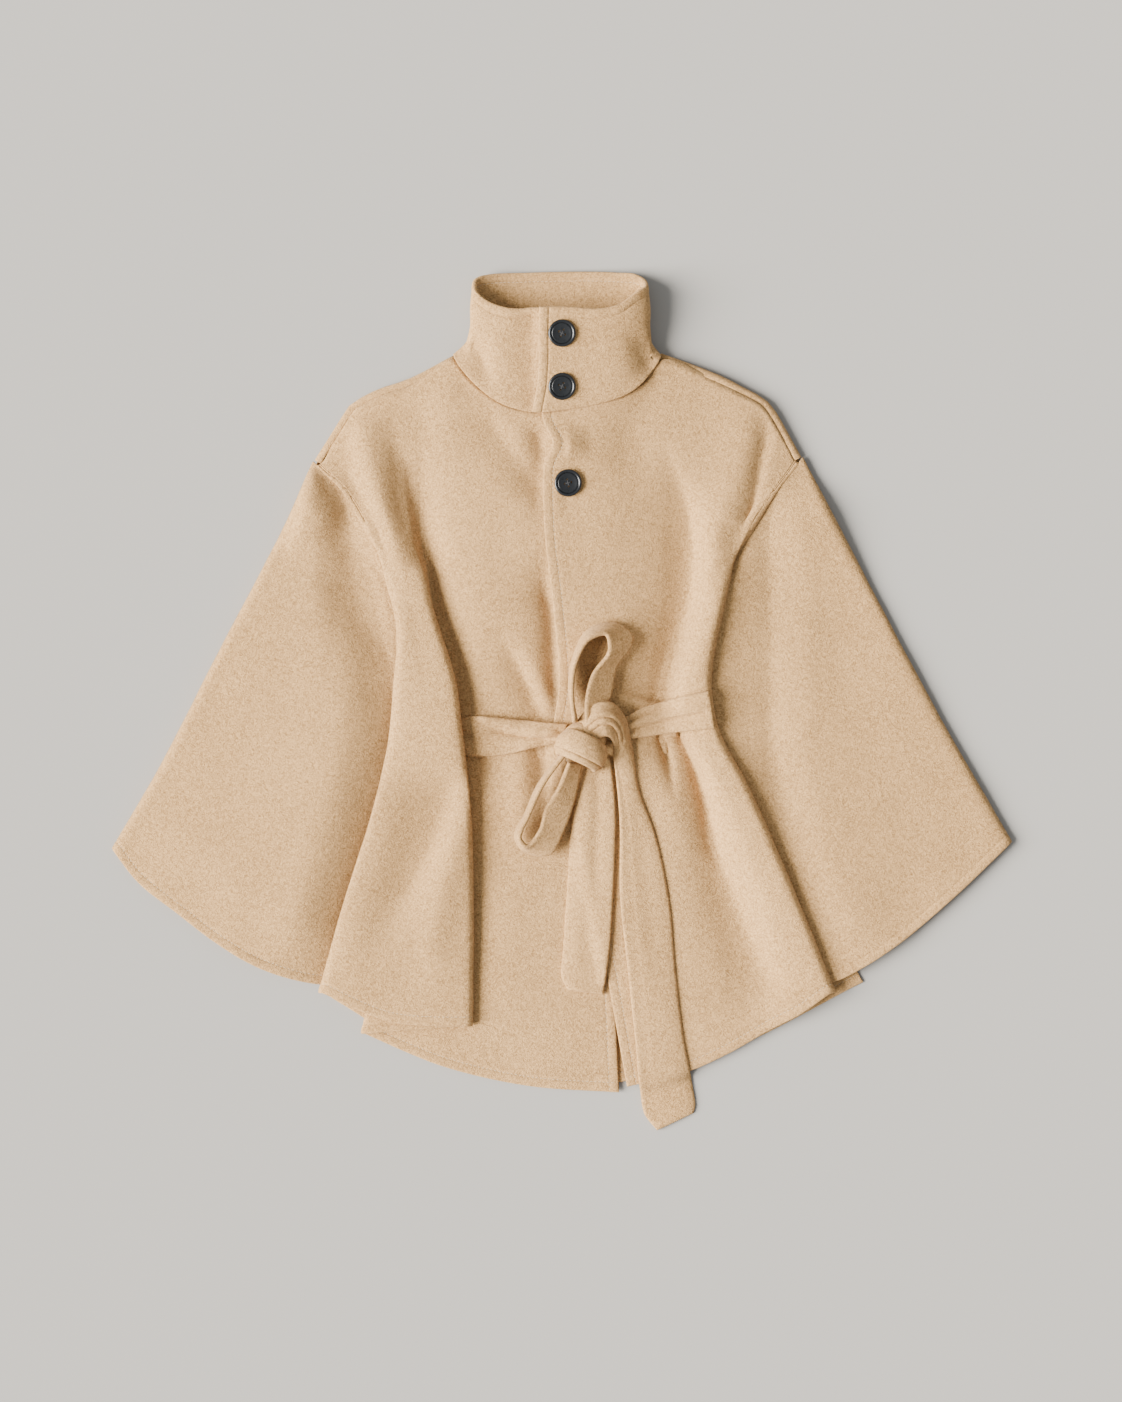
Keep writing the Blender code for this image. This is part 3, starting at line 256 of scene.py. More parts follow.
COLLAR_UNDER_ANGLE = 74.0   # where the end beneath it lies
COLLAR_LAP_DROP = 5.4       # how far the lower end lies beneath the upper one
COLLAR_LAP_INSET = 0.4      # how far it also draws in, as a share of the drop
COLLAR_LAP_LIFT = 2.6       # how far the edge of the upper end curls up
COLLAR_SIDE_BLEND = 1.4     # how fast the outline changes from its front line to its back line
COLLAR_FOLD_BLEND = 2.5     # how fast the folds of the front wall end at the sides
COLLAR_AROUND, COLLAR_UP = 210, 40

# ---------------------------------------------------------------- pressed folds
# Widths are to the west (left) and east (right) of the line; rise and fall are the shares of its
# length over which a fold starts and dies out.
RIGHT_FOLDS = (
    Fold("chest trough", ((92, 290), (106, 240), (122, 202), (131, 150), (130, 115), (121, 82), (110, 42),
                          (98, -4)), 38, 10, -10.0, 0.4, 0.01, 1.4),
    Fold("chest ridge", ((150, 215), (148, 125), (141, 75), (127, 28), (112, 2)), 9, 18, 2.5, 0.4, 0.01, 2),
    Fold("shoulder ridge", ((206, 306), (195, 262), (188, 222), (182, 172)), 30, 12, 5.0, 0.2, 0.1, 2),
    Fold("armhole groove", ((205, 300), (205, 272), (198, 240), (192, 206), (184, 172)), 12, 5, -8.5, 0.12,
         0.1, 1.3),
    Fold("collar fall", ((60, 300), (66, 250), (78, 190)), 20, 22, -3.0, 0.3, 0.6, 2),
    Fold("placket swell", ((-2, 258), (30, 262)), 16, 16, 3.0, 0.02, 0.7, 2),
    Fold("placket sink", ((0, 215), (30, 212)), 20, 20, -2.0, 0.02, 0.7, 2),
    Fold("first gather", ((97, -30), (103, -45), (106, -58), (109, -80), (114, -110)), 7, 4, -11.0, 0.02,
         0.7, 1.2),
    Fold("long gather", ((116, -29), (130, -58), (143, -98), (147, -118), (154, -148), (163, -176)),
         9, 4, -12.5, 0.01, 0.35, 1.2),
    Fold("long gather's fall", ((144, -106), (154, -148), (171, -198), (188, -238), (208, -278), (222, -305)),
         34, 15, -7.5, 0.35, 0.25, 1.6),
    Fold("gather's ridge", ((126, -36), (141, -58), (156, -98), (166, -138), (184, -190), (200, -240)),
         7, 16, 3.0, 0.02, 0.4, 2),
    Fold("skirt hollow", ((74, -66), (78, -130), (92, -230), (110, -320)), 16, 26, -3.5, 0.25, 0.4, 2),
)
LEFT_FOLDS = (
    Fold("shoulder ridge", ((-206, 306), (-197, 262), (-187, 222), (-178, 160)), 14, 22, 5.0, 0.25, 0.2, 2),
    Fold("armhole hollow", ((-222, 270), (-212, 232), (-204, 205), (-196, 182)), 16, 10, -3.5, 0.3, 0.2, 2),
    Fold("collar fall", ((-122, 335), (-116, 270), (-98, 180)), 22, 26, 3.0, 0.2, 0.5, 2),
    Fold("valley start", ((-172, 290), (-163, 256), (-155, 228), (-150, 205), (-145, 180), (-139, 155),
                          (-134, 130)), 17, 14, -8.0, 0.4, 0.1, 1.5),
    Fold("under the placket", ((-40, 300), (-24, 270), (-20, 245), (-21, 222), (-22, 195), (-20, 165)), 13,
         12, -9.5, 0.3, 0.45, 1.4),
    Fold("beside the placket", ((-84, 300), (-60, 262), (-36, 226), (-26, 196)), 20, 12, -5.0, 0.3, 0.3, 1.7),
    Fold("placket hollow", ((-20, 160), (-15, 110), (-11, 92), (-9, 50), (-8, 16), (-6, -20)), 10, 10, -9.0,
         0.3, 0.02, 1.3),
    Fold("wide hollow", ((-20, 150), (-16, 110), (-12, 80), (-8, 40), (-6, 0)), 30, 12, -5.5, 0.3, 0.1, 1.6),
    Fold("long pull to the knot", ((-70, 86), (-56, 56), (-44, 36), (-33, 14), (-25, -6), (-21, -22)), 20,
         8, -8.0, 0.5, 0.01, 1.5),
    Fold("pull's ridge", ((-34, 52), (-20, 18), (-12, -2), (-9, -20)), 9, 9, 3.0, 0.5, 0.01, 2),
    Fold("pleat's shade", ((-150, 160), (-136, 118), (-122, 82), (-106, 47), (-95, 12), (-92, -12)), 20, 14,
         -3.0, 0.1, 0.05, 2),
    Fold("gather below left", ((-74, -52), (-75, -92)), 7, 8, -3.0, 0.05, 0.8, 1.6),
    Fold("gather by the knot", ((-21, -38), (-18, -70), (-16, -120), (-20, -160)), 14, 7, -7.5, 0.02, 0.7,
         1.5),
    Fold("swell by the knot", ((-40, -44), (-40, -100), (-46, -180)), 14, 14, 2.5, 0.05, 0.6, 2),
    Fold("skirt swell left", ((-52, -150), (-58, -240), (-60, -340)), 22, 26, 2.0, 0.3, 0.3, 2),
)
PLEAT_FOLDS = (
    Fold("fall from the belt", ((-112, -58), (-112, -82), (-122, -120), (-142, -166), (-166, -212),
                                (-186, -262)), 40, 15, -11.0, 0.35, 0.4, 1.6),
    Fold("fall's ridge", ((-98, -90), (-108, -138), (-120, -190), (-128, -240), (-124, -300)), 14, 16, 3.5,
         0.3, 0.3, 2),
    Fold("outer ridge", ((-158, -70), (-178, -150), (-204, -230), (-220, -290)), 16, 16, 1.5, 0.3, 0.3, 2),
)
LEFT_SLEEVE_FOLDS = (
    Fold("head swell", ((-242, 234), (-249, 205), (-262, 168), (-276, 120)), 10, 15, 6.0, 0.02, 0.5, 2),
    Fold("head dip", ((-222, 228), (-216, 192), (-211, 165)), 13, 10, -3.0, 0.1, 0.4, 2),
    Fold("outer swell", ((-262, 160), (-300, 80), (-350, -20), (-400, -150)), 26, 40, 1.6, 0.2, 0.3, 2),
    Fold("elbow dip", ((-330, 60), (-345, 0), (-365, -60)), 18, 24, -1.0, 0.4, 0.4, 2),
    Fold("hem wave", ((-286, -130), (-292, -190), (-300, -262)), 34, 38, -2.5, 0.5, 0.05, 2),
    Fold("hem wave outer", ((-372, -110), (-392, -160), (-405, -196)), 24, 26, 1.5, 0.5, 0.05, 2),
)
RIGHT_SLEEVE_FOLDS = (
    Fold("side valley", ((206, 190), (206, 142), (208, 80), (208, 22), (209, -36), (216, -90), (226, -150)),
         12, 10, -2.0, 0.1, 0.2, 1.6),
    Fold("outer hollow", ((258, 150), (268, 90), (280, 20), (296, -60)), 30, 34, -1.5, 0.3, 0.4, 2),
    Fold("outer swell", ((300, 70), (330, 0), (372, -110)), 34, 36, 1.5, 0.3, 0.4, 2),
    Fold("hem wave", ((330, -120), (340, -190), (344, -236)), 30, 34, -2.0, 0.5, 0.05, 2),
)
COLLAR_FOLDS = (
    Fold("left dent", ((-92, 372), (-84, 352), (-76, 332), (-66, 308)), 11, 10, -5.5, 0.3, 0.35, 1.8),
    Fold("right dent", ((88, 368), (80, 350), (86, 334), (92, 322)), 12, 9, -5.5, 0.3, 0.35, 1.8),
    Fold("left hollow", ((-44, 388), (-44, 340), (-46, 300)), 18, 20, -2.5, 0.3, 0.3, 2),
    Fold("lap shadow", ((-29, 392), (-28, 340), (-25, 292)), 14, 6, -3.6, 0.05, 0.05, 2),
)
PLACKET_WAVE = dict(y=257, reach=16, shift=10.5, lift=6.0, fade=50)

# ---------------------------------------------------------------- belt, knot and bow
BELT_LEFT = (
    Rung((-104, -17), (-104, -49), 0.0), Rung((-90, -14), (-93, -54), 0.0),
    Rung((-71, -15), (-79, -54), 0.0), Rung((-40, -18), (-54, -52), 0.0),
    Rung((-19, -20), (-30, -46), 4.0), Rung((6, -22), (0, -39), 4.0),
)
BELT_LEFT_CREASES = (
    Crease((0.28, 0.02), (0.98, 0.52), 4.0, 4.5), Crease((0.28, 0.22), (0.98, 0.72), -4.6, 2.0),
    Crease((0.0, 0.46), (0.24, 0.52), -2.6, 4.0), Crease((0.0, 0.8), (0.3, 0.86), 2.0, 4.0),
    Crease((0.5, 0.8), (1.0, 0.9), -2.2, 3.0),
)
BELT_RIGHT = (
    Rung((38, -24), (38, -38), 4.0), Rung((60, -16), (64, -37), 1.5), Rung((82, -5), (88, -34), 0.0),
    Rung((103, 1), (108, -31), 0.0), Rung((126, 7), (131, -28), 0.0), Rung((146, 11), (152, -26), 0.0),
)
BELT_RIGHT_CREASES = (
    Crease((0.1, 0.3), (1.0, 0.24), -4.4, 1.8), Crease((0.1, 0.46), (1.0, 0.38), 3.4, 4.0),
    Crease((0.12, 0.64), (1.0, 0.52), -4.6, 2.0), Crease((0.3, 0.84), (1.0, 0.8), -1.6, 2.4),
)
SHORT_TAIL = (
    Rung((18, -52), (48, -56), 0.5), Rung((12, -104), (53, -100), 0.0), Rung((8, -140), (53, -140), 0.0),
    Rung((5, -190), (51, -190), 0.0), Rung((1, -250), (47, -250), 0.0), Rung((0, -276), (43, -280), 0.0),
    Rung((6, -287), (41, -292), 0.0),
)
SHORT_TAIL_CREASES = (Crease((0.0, 0.55), (0.5, 0.62), -1.5, 6.0), Crease((0.1, 0.25), (0.8, 0.3), 1.0, 9.0))
LONG_TAIL = (Rung((30, -41), (11, -27), 15.0), Rung((37, -36.5), (22, -11), 21.0),
             Rung((43, -34), (35, -1.5), 22.0), Rung((47, -35), (49, -1), 20.0),
             Rung((49.5, -38), (61, -14), 15.5), Rung((50.5, -44), (67, -36), 9.5),
             Rung((51, -54), (71, -58), 3.5), Rung((53, -70), (75, -84), 0.5),
             Rung((57, -113), (92, -130), 0.0), Rung((58, -198), (107, -200), 0.0),
             Rung((65, -263), (113, -268), 0.0), Rung((73, -338), (122, -340), 0.0),
             Rung((78, -388), (129, -376), 0.0), Rung((83, -413), (133, -405), 0.0),
             Rung((95, -428), (131, -411), 0.0))
LONG_TAIL_CREASES = (
    Crease((0.0, 0.16), (1.0, 0.17), -1.5, 1.6), Crease((0.0, 0.36), (0.42, 0.34), -3.0, 1.8),
    Crease((0.0, 0.56), (0.38, 0.56), -3.2, 1.8), Crease((0.0, 0.76), (0.36, 0.78), -3.0, 1.8),
    Crease((0.0, 0.26), (0.4, 0.26), 1.6, 2.4), Crease((0.0, 0.46), (0.38, 0.45), 1.8, 2.6),
    Crease((0.0, 0.66), (0.36, 0.66), 1.6, 2.6),
)
BELT_INSIDE = (
    Rung((-74, -12), (-74, -56), 0.0), Rung((0, -12), (0, -56), 0.0), Rung((106, -8), (106, -52), 0.0),
)
LOOP_UP = (
    ((14, -20, 31), (12, -20, 46)), ((8, 14, 27), (10, 12, 48)), ((12, 44, 25), (14, 40, 48)),
    ((26, 71, 25), (29, 63, 47)), ((60, 76, 25), (43, 66, 43)), ((70, 66, 25), (46, 53, 40)),
    ((54, 34, 26), (29, 26, 40)), ((48, 4, 27), (23, 2, 41)), ((36, -18, 31), (23, -20, 43)),
)
LOOP_DOWN = (
    ((2, -50, 27), (4, -50, 42)), ((-24, -84, 24), (-20, -84, 44)), ((-36, -112, 23), (-31, -108, 43)),
    ((-46, -136, 23), (-41, -136, 40)), ((-40, -146, 23), (-36, -142, 37)),
    ((-12, -152, 23), (-23, -127, 34)), ((2, -128, 24), (-17, -106, 35)), ((14, -92, 25), (-5, -86, 37)),
    ((20, -60, 28), (6, -60, 40)),
)
ABOVE_ALL = 200.0           # height from which a line straight down meets every piece
UNDER_PLEAT = 16.0          # the same for what lies under the edge of the pleat
INSIDE_BODY = 5.0           # the same for what lies on the back, under the fronts
# Stretches of the belt; start is the height from which each looks down for the cloth it lies on.
STRETCHES = (
    Stretch("belt_hidden", "belt_inside", BELT_INSIDE, 8, 30, (), INSIDE_BODY, (0.0, 0.0), (0.045, 0.18)),
    Stretch("belt_waist_left", "belt_left", BELT_LEFT, 14, 44, BELT_LEFT_CREASES, UNDER_PLEAT, (0.0, 0.0),
            (0.045, 0.11)),
    Stretch("belt_waist_right", "belt_right", BELT_RIGHT, 14, 44, BELT_RIGHT_CREASES, ABOVE_ALL, (0.0, 0.0),
            (0.045, 0.11)),
    Stretch("belt_end_short", "belt_tail_short", SHORT_TAIL, 14, 70, SHORT_TAIL_CREASES, ABOVE_ALL,
            (1.0, 0.0), (0.045, 0.24)),
    Stretch("belt_end_long", "belt_tail_long", LONG_TAIL, 30, 150, LONG_TAIL_CREASES, ABOVE_ALL, (0.0, 1.0),
            (0.045, 0.46)),
)
KNOT = dict(centre=(19.0, -45, 36), length=(0.91, -0.41), half_length=24.5, half_width=14.6, height=17.0,
            turn=112)
KNOT_CORE = dict(centre=(22.0, -36, 32), size=(44, 34, 28))
KNOT_NARROWING = 0.24       # how much shorter the wrap is at its edges
KNOT_EDGE_DROP = 4.0        # how much lower its edges lie
KNOT_SAG = 3.0              # how far its ends hang towards the hem
KNOT_GROOVE = dict(place=-0.5, depth=2.6, width=0.08)
BAND_REACH = 3.0            # half width of the patch of cloth that holds up a place of a band
BAND_CLEARANCE = 0.6        # daylight between a band and the cloth
BAND_SMOOTHING = 6          # how often a band's bridges over the hollows are evened out
BAND_DROOP = 9.0            # how far an edge of a band may sink into a hollow that it bridges
EDGE_REST = 0.2             # height of the middle of such an edge over the cloth below it
EDGE_LIFT = 0.2             # share of the band's own lift that such an edge keeps
EDGE_POWER = 5              # how close to the edge the sinking stays

LIGHT_FROM = (-0.75, -0.14, 0.48)
LIGHT_COLOUR = (1.0, 0.98, 0.935)
SKY_COLOUR = (0.92, 0.97, 1.0, 1.0)
FLOOR_REACH = 4.0           # half the floor's side, in metres
FRAME_MIDDLE = (-0.001, 0.001)

BUTTONS = ((0.0, 365.0), (0.0, 313.0), (6.0, 217.5))
BUTTON_RADIUS = 13.7
BUTTON_THICK = 4.4
BUTTON_HOLE_SPACING = 4.6
BUTTON_HOLE_RADIUS = 1.15
# Half section of a button: distance from its middle, height over its underside.
BUTTON_PROFILE = (
    (0.0, 2.75), (5.0, 2.8), (8.2, 3.2), (9.3, 3.5), (9.9, 3.35), (10.2, 3.0), (10.6, 3.55), (11.3, 4.25),
    (12.2, 4.4), (13.0, 4.15), (13.55, 3.5), (13.7, 2.7), (13.4, 1.6), (12.4, 0.7), (10.4, 0.1), (0.0, 0.0),
)


class CapeCloth(bpy.types.PropertyGroup):
    """Sizes and colours of the cloth and its sewing."""

    wall: FloatProperty(name="Cloth thickness", description="Wall of the brushed coating wool",
                        default=2.4 * MM, unit="LENGTH")
    band: FloatProperty(name="Band thickness", description="Two walls sewn face to face: collar and belt",
                        default=4.6 * MM, unit="LENGTH")
    stitch_pitch: FloatProperty(name="Stitch pitch", description="From one topstitch to the next",
                                default=4.2 * MM, unit="LENGTH")
    stitch_length: FloatProperty(name="Stitch length", description="Part of a topstitch that shows",
                                 default=3.1 * MM, unit="LENGTH")
    thread: FloatProperty(name="Thread width", description="Width of the topstitching thread",
                          default=0.75 * MM, unit="LENGTH")
    light: FloatVectorProperty(name="Nap light", description="Colour of the tips of the nap", subtype="COLOR",
                               default=(0.53, 0.311, 0.129))
    dark: FloatVectorProperty(name="Nap dark", description="Colour between the curls of the nap",
                              subtype="COLOR", default=(0.268, 0.148, 0.056))
    thread_colour: FloatVectorProperty(name="Thread", description="Colour of the topstitching",
                                       subtype="COLOR", default=(0.56, 0.40, 0.24))
    unevenness: FloatProperty(name="Unevenness", description="How far the cloth's face rises and falls",
                              default=0.35 * MM, unit="LENGTH")


class CapeStage(bpy.types.PropertyGroup):
    """The floor, the lights and the camera."""

    camera_height: FloatProperty(name="Camera height", description="Above the floor", default=4.0,
                                 unit="LENGTH")
    frame_height: FloatProperty(name="Frame height", description="Length of floor that the picture shows",
                                default=1.402, unit="LENGTH")
    floor: FloatVectorProperty(name="Floor", description="Colour of the floor", subtype="COLOR",
                               default=(0.306, 0.288, 0.265))
    key: FloatProperty(name="Key light", description="Strength of the wide soft light", default=18.9)
    softness: FloatProperty(name="Softness", description="Width of the soft light as seen from the cape",
                            default=math.radians(42), subtype="ANGLE")
    fill: FloatProperty(name="Fill light", description="Strength of the light from all round", default=0.686)


class CapeButtons(bpy.types.PropertyGroup):
    """The moulded buttons."""

    colour: FloatVectorProperty(name="Button colour", description="Moulded button", subtype="COLOR",
                                default=(0.0025, 0.0028, 0.0035))
    sides: IntProperty(name="Sides", description="Steps round a button", default=72, min=12)


# ---------------------------------------------------------------- curves
def curve(points, places):
    """Points on a smooth curve through the rows of points; places counts them, 0 for the first."""
    rows = np.asarray(points, dtype=float)
    step = np.diff(rows, axis=0)
    run = np.maximum(np.linalg.norm(step, axis=1), 1e-9)
    slope = np.empty_like(rows)
    slope[0], slope[-1] = step[0] / run[0], step[-1] / run[-1]
    before, after = run[:-1, None], run[1:, None]
    slope[1:-1] = (after * step[:-1] / before + before * step[1:] / after) / (before + after)
    leave = np.minimum(run, PULL * np.concatenate((run[:1], run[:-1])))[:, None]
    arrive = np.minimum(run, PULL * np.concatenate((run[1:], run[-1:])))[:, None]
    spots = np.clip(np.asarray(places, dtype=float), 0, len(rows) - 1)
    i = np.minimum(spots.astype(int), len(rows) - 2)
    r = (spots - i)[:, None]
    return (rows[i] * (2 * r**3 - 3 * r**2 + 1) + slope[i] * leave[i] * (r**3 - 2 * r**2 + r)
            + rows[i + 1] * (3 * r**2 - 2 * r**3) + slope[i + 1] * arrive[i] * (r**3 - r**2))


def along(points, share):
    """Points at shares of the curve's count of rows, 0 to 1."""
    return curve(points, np.atleast_1d(share) * (len(points) - 1))


def by_x(points, x):
    """Height y of an outline at x."""
    rows = sorted(points)
    line = curve(rows, np.linspace(0, len(rows) - 1, 40 * len(rows)))
    return np.interp(x, np.maximum.accumulate(line[:, 0]), line[:, 1])


def by_y(points, y):
    """Position x of a side line at y."""
    return by_x([p[1::-1] for p in points], y)


def ease(value):
    """Smooth step from 0 to 1."""
    v = np.clip(value, 0.0, 1.0)
    return v * v * (3 - 2 * v)


def spread(counts):
    """Places along a section, with the given number of steps in each of its runs."""
    places = [run + k / steps for run, steps in enumerate(counts) for k in range(steps)]
    return np.array(places + [float(len(counts))])


# ---------------------------------------------------------------- grids of cloth
def turned(point, roll, turn, inward):
    """Three points round a fold: before it, on it and after it, coming from its inward side."""
    x, y, z = point
    before = (x + inward * roll, y, z + roll * turn)
    after = (x + inward * roll * (2 * turn - 1), y, z - roll * turn)
    return [before, (x, y, z), after]


def left_section(level):
    """Control points across the left front, side seam to front edge."""
    seam, side, crest, edge, tuck, neck, middle, front = level.points
    turn = level.pleat_turn
    rim = turned(side, SIDE_ROLL, level.side_turn, 1)[::-1]
    pleat = turned(edge, PLEAT_ROLL, turn, -1)
    x, y, z = tuck
    under = [(x + TUCK_ROLL * (turn - (1 - turn)), y, z + TUCK_ROLL * turn), tuck,
             (x + TUCK_ROLL, y, z - TUCK_ROLL * turn)]
    return [seam, *rim, crest, *pleat, *under, neck, middle, front]


def right_section(level):
    """Control points across the right front, front edge to side seam."""
    front, middle, neck, trough, ridge, side, seam = level.points
    return [front, middle, neck, trough, ridge, *turned(side, SIDE_ROLL, level.side_turn, -1), seam]


def panel(sections, columns, rows):
    """Grid of points, rows down the levels and columns across the sections."""
    sections = np.array(sections, dtype=float)
    lines = [curve(sections[:, c], spread(rows)) for c in range(sections.shape[1])]
    controls = np.stack(lines, axis=1)
    return np.array([curve(row, spread(columns)) for row in controls])


def edged(grid, steps, lines, spare, axis, end=False):
    """Redraw the run of a grid beside an edge: lines at set distances, then even steps."""
    work = np.swapaxes(grid, 0, 1) if axis == 0 else grid
    work = work[:, ::-1] if end else work
    distances = [line.distance for line in lines]
    drawn = []
    for row in work:
        run = row[:steps + 1]
        length = np.concatenate(([0.0], np.cumsum(np.linalg.norm(np.diff(run, axis=0), axis=1))))
        spots = np.concatenate((distances, np.linspace(distances[-1], length[-1], spare + 1)[1:]))
        drawn.append(np.stack([np.interp(spots, length, run[:, k]) for k in range(3)], axis=1))
    work = np.concatenate((np.array(drawn), work[:, steps + 1:]), axis=1)
    work = work[:, ::-1] if end else work
    return np.swapaxes(work, 0, 1) if axis == 0 else work


def rimmed(grid, steps):
    """Redraw both long edges of a band for its rims."""
    grid = edged(grid, steps, RIM, 2, axis=1)
    return edged(grid, steps, RIM, 2, axis=1, end=True)


def wall_shares(shape, left=(), right=(), top=(), bottom=()):
    """How thick the wall is at each corner of a grid, from the lines beside its edges."""
    share = np.ones(shape[:2])
    across, down = np.ones(shape[1]), np.ones(shape[0])
    for lines, target in ((left, across), (top, down)):
        target[:len(lines)] = [line.wall for line in lines]
    for lines, target in ((right, across), (bottom, down)):
        if lines:
            target[-len(lines):] = [line.wall for line in lines][::-1]
    a, b = share * across[None, :], share * down[:, None]
    return np.where((a < 1) | (b < 1), np.minimum(a, b), np.maximum(a, b))


def facing(grid):
    """Unit normals of a grid."""
    down, across = np.gradient(grid, axis=0), np.gradient(grid, axis=1)
    normal = np.cross(down, across)
    return normal / np.maximum(np.linalg.norm(normal, axis=2, keepdims=True), 1e-9)


def fold_height(x, y, fold):
    """Height that a fold adds at each place."""
    count = 12 * (len(fold.points) - 1) + 1
    line = curve(fold.points, np.linspace(0, len(fold.points) - 1, count))
    run = np.diff(line, axis=0)
    off = np.stack((x, y), axis=-1)[..., None, :] - line[:-1]
    t = np.clip((off * run).sum(-1) / (run**2).sum(-1), 0, 1)
    off = off - t[..., None] * run
    distance = np.linalg.norm(off, axis=-1)
    nearest = distance.argmin(-1)[..., None]
    near = np.take_along_axis(distance, nearest, -1)[..., 0]
    share = (nearest + np.take_along_axis(t, nearest, -1))[..., 0] / (count - 1)
    side = np.take_along_axis(off[..., 0], nearest, -1)[..., 0]
    width = np.where(side > 0, fold.east, fold.west)
    bend = np.exp(-((near / width)**2 + 0.02)**(fold.power / 2))
    return fold.height * bend * ease(share / fold.rise) * ease((1 - share) / fold.fall)


def press(grid, folds, showing=1.0):
    """Press folds into a grid where its layer shows."""
    for fold in folds:
        grid[..., 2] += fold_height(grid[..., 0], grid[..., 1], fold) * showing


def uneven(grid, amount, seed):
    """Let the cloth's face rise and fall a little, as brushed wool does."""
    normal = facing(grid)
    wave = np.array([[noise.noise(Vector(p) / 34 + seed) + 0.45 * noise.noise(Vector(p) / 11 + seed)
                      for p in row] for row in grid])
    return grid + normal * (wave * amount / MM)[..., None]


def shell(name, grid, wall, shares, material, closed=False):
    """A wall of cloth from a grid: its corners placed, then thickened by Solidify."""
    rows, columns = grid.shape[:2]
    bm = bmesh.new()
    layer = bm.loops.layers.uv.new("cloth")
    bmesh.ops.create_grid(bm, x_segments=columns - 1, y_segments=rows - 1, size=0.5)
    deform = bm.verts.layers.deform.new()
    bm.verts.ensure_lookup_table()
    for vert in bm.verts:
        column = round((vert.co.x + 0.5) * (columns - 1))
        row = round((vert.co.y + 0.5) * (rows - 1))
        vert.co = Vector(grid[row, column]) * MM
        vert[deform][0] = shares[row, column] / WALL_REACH
    for face in bm.faces:
        for loop in face.loops:
            loop[layer].uv = loop.vert.co.xy
    if closed:
        bmesh.ops.remove_doubles(bm, verts=bm.verts, dist=1e-6)
    piece = add_piece(name, finished_mesh(name, bm), material)
    piece.vertex_groups.new(name="wall")
    thick = piece.modifiers.new("wall", "SOLIDIFY")
    thick.thickness = wall * WALL_REACH
    thick.offset = 0.0
    thick.use_even_offset = False
    thick.use_quality_normals = True
    thick.vertex_group = "wall"
    return piece


def finished_mesh(name, bm):
    """Turn a finished bmesh into a mesh."""
    mesh = bpy.data.meshes.new(name)
    bm.to_mesh(mesh)
    bm.free()
    return mesh


def add_piece(name, mesh, material):
    """Link a smooth mesh into the scene with its material, riding on the cape."""
    piece = bpy.data.objects.new(name, mesh)
    piece.data.materials.append(material)
    bpy.context.scene.collection.objects.link(piece)
    mesh.shade_smooth()
    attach(piece, "root")
    return piece


def beads(name, spots, frames, material):
    """One mesh of many small rounded threads; a frame's columns are a thread's half axes."""
    bm = bmesh.new()
    bmesh.ops.create_uvsphere(bm, u_segments=8, v_segments=5, radius=1.0)
    bm.verts.ensure_lookup_table()
    form = np.array([vert.co[:] for vert in bm.verts])
    faces = [[vert.index for vert in face.verts] for face in bm.faces]
    bm.free()
    corners = np.asarray(spots)[:, None] + np.einsum("nij,kj->nki", np.asarray(frames), form)
    joined = [[i + n * len(form) for i in face] for n in range(len(spots)) for face in faces]
    mesh = bpy.data.meshes.new(name)
    mesh.from_pydata((corners.reshape(-1, 3) * MM).tolist(), [], joined)
    piece = add_piece(name, mesh, material)
    return piece


def stitches(name, lines, material):
    """Topstitching: short threads laid along lines of surface points and their normals."""
    cloth = bpy.context.scene.cape_cloth
    pitch, reach, thread = cloth.stitch_pitch / MM, cloth.stitch_length / MM, cloth.thread / MM
    spots, frames = [], []
    for points, normals in lines:
        length = np.concatenate(([0.0], np.cumsum(np.linalg.norm(np.diff(points, axis=0), axis=1))))
        starts = np.arange(pitch, length[-1] - pitch, pitch)
        a, b, up = (np.stack([np.interp(spot, length, rows[:, k]) for k in range(3)], axis=1)
                    for spot, rows in ((starts, points), (starts + reach, points), (starts, normals)))
        run = (b - a) / 2
        forward = run / np.linalg.norm(run, axis=1, keepdims=True)
        side = np.cross(up, forward)
        side /= np.linalg.norm(side, axis=1, keepdims=True)
        spots.append((a + b) / 2)
        frames.append(np.stack((run, side * thread / 2, np.cross(forward, side) * thread * 0.4), axis=2))
    return beads(name, np.concatenate(spots), np.concatenate(frames), material)


def stitch_row(grid, normals, shares, wall, row=None, column=None, part=slice(None)):
    """A line of topstitching on a grid's face: its points and their normals."""
    pick = (row, part) if row is not None else (part, column)
    lift = (wall / MM / 2 * shares[pick])[:, None]
    return grid[pick] + normals[pick] * (lift + 0.1), normals[pick]


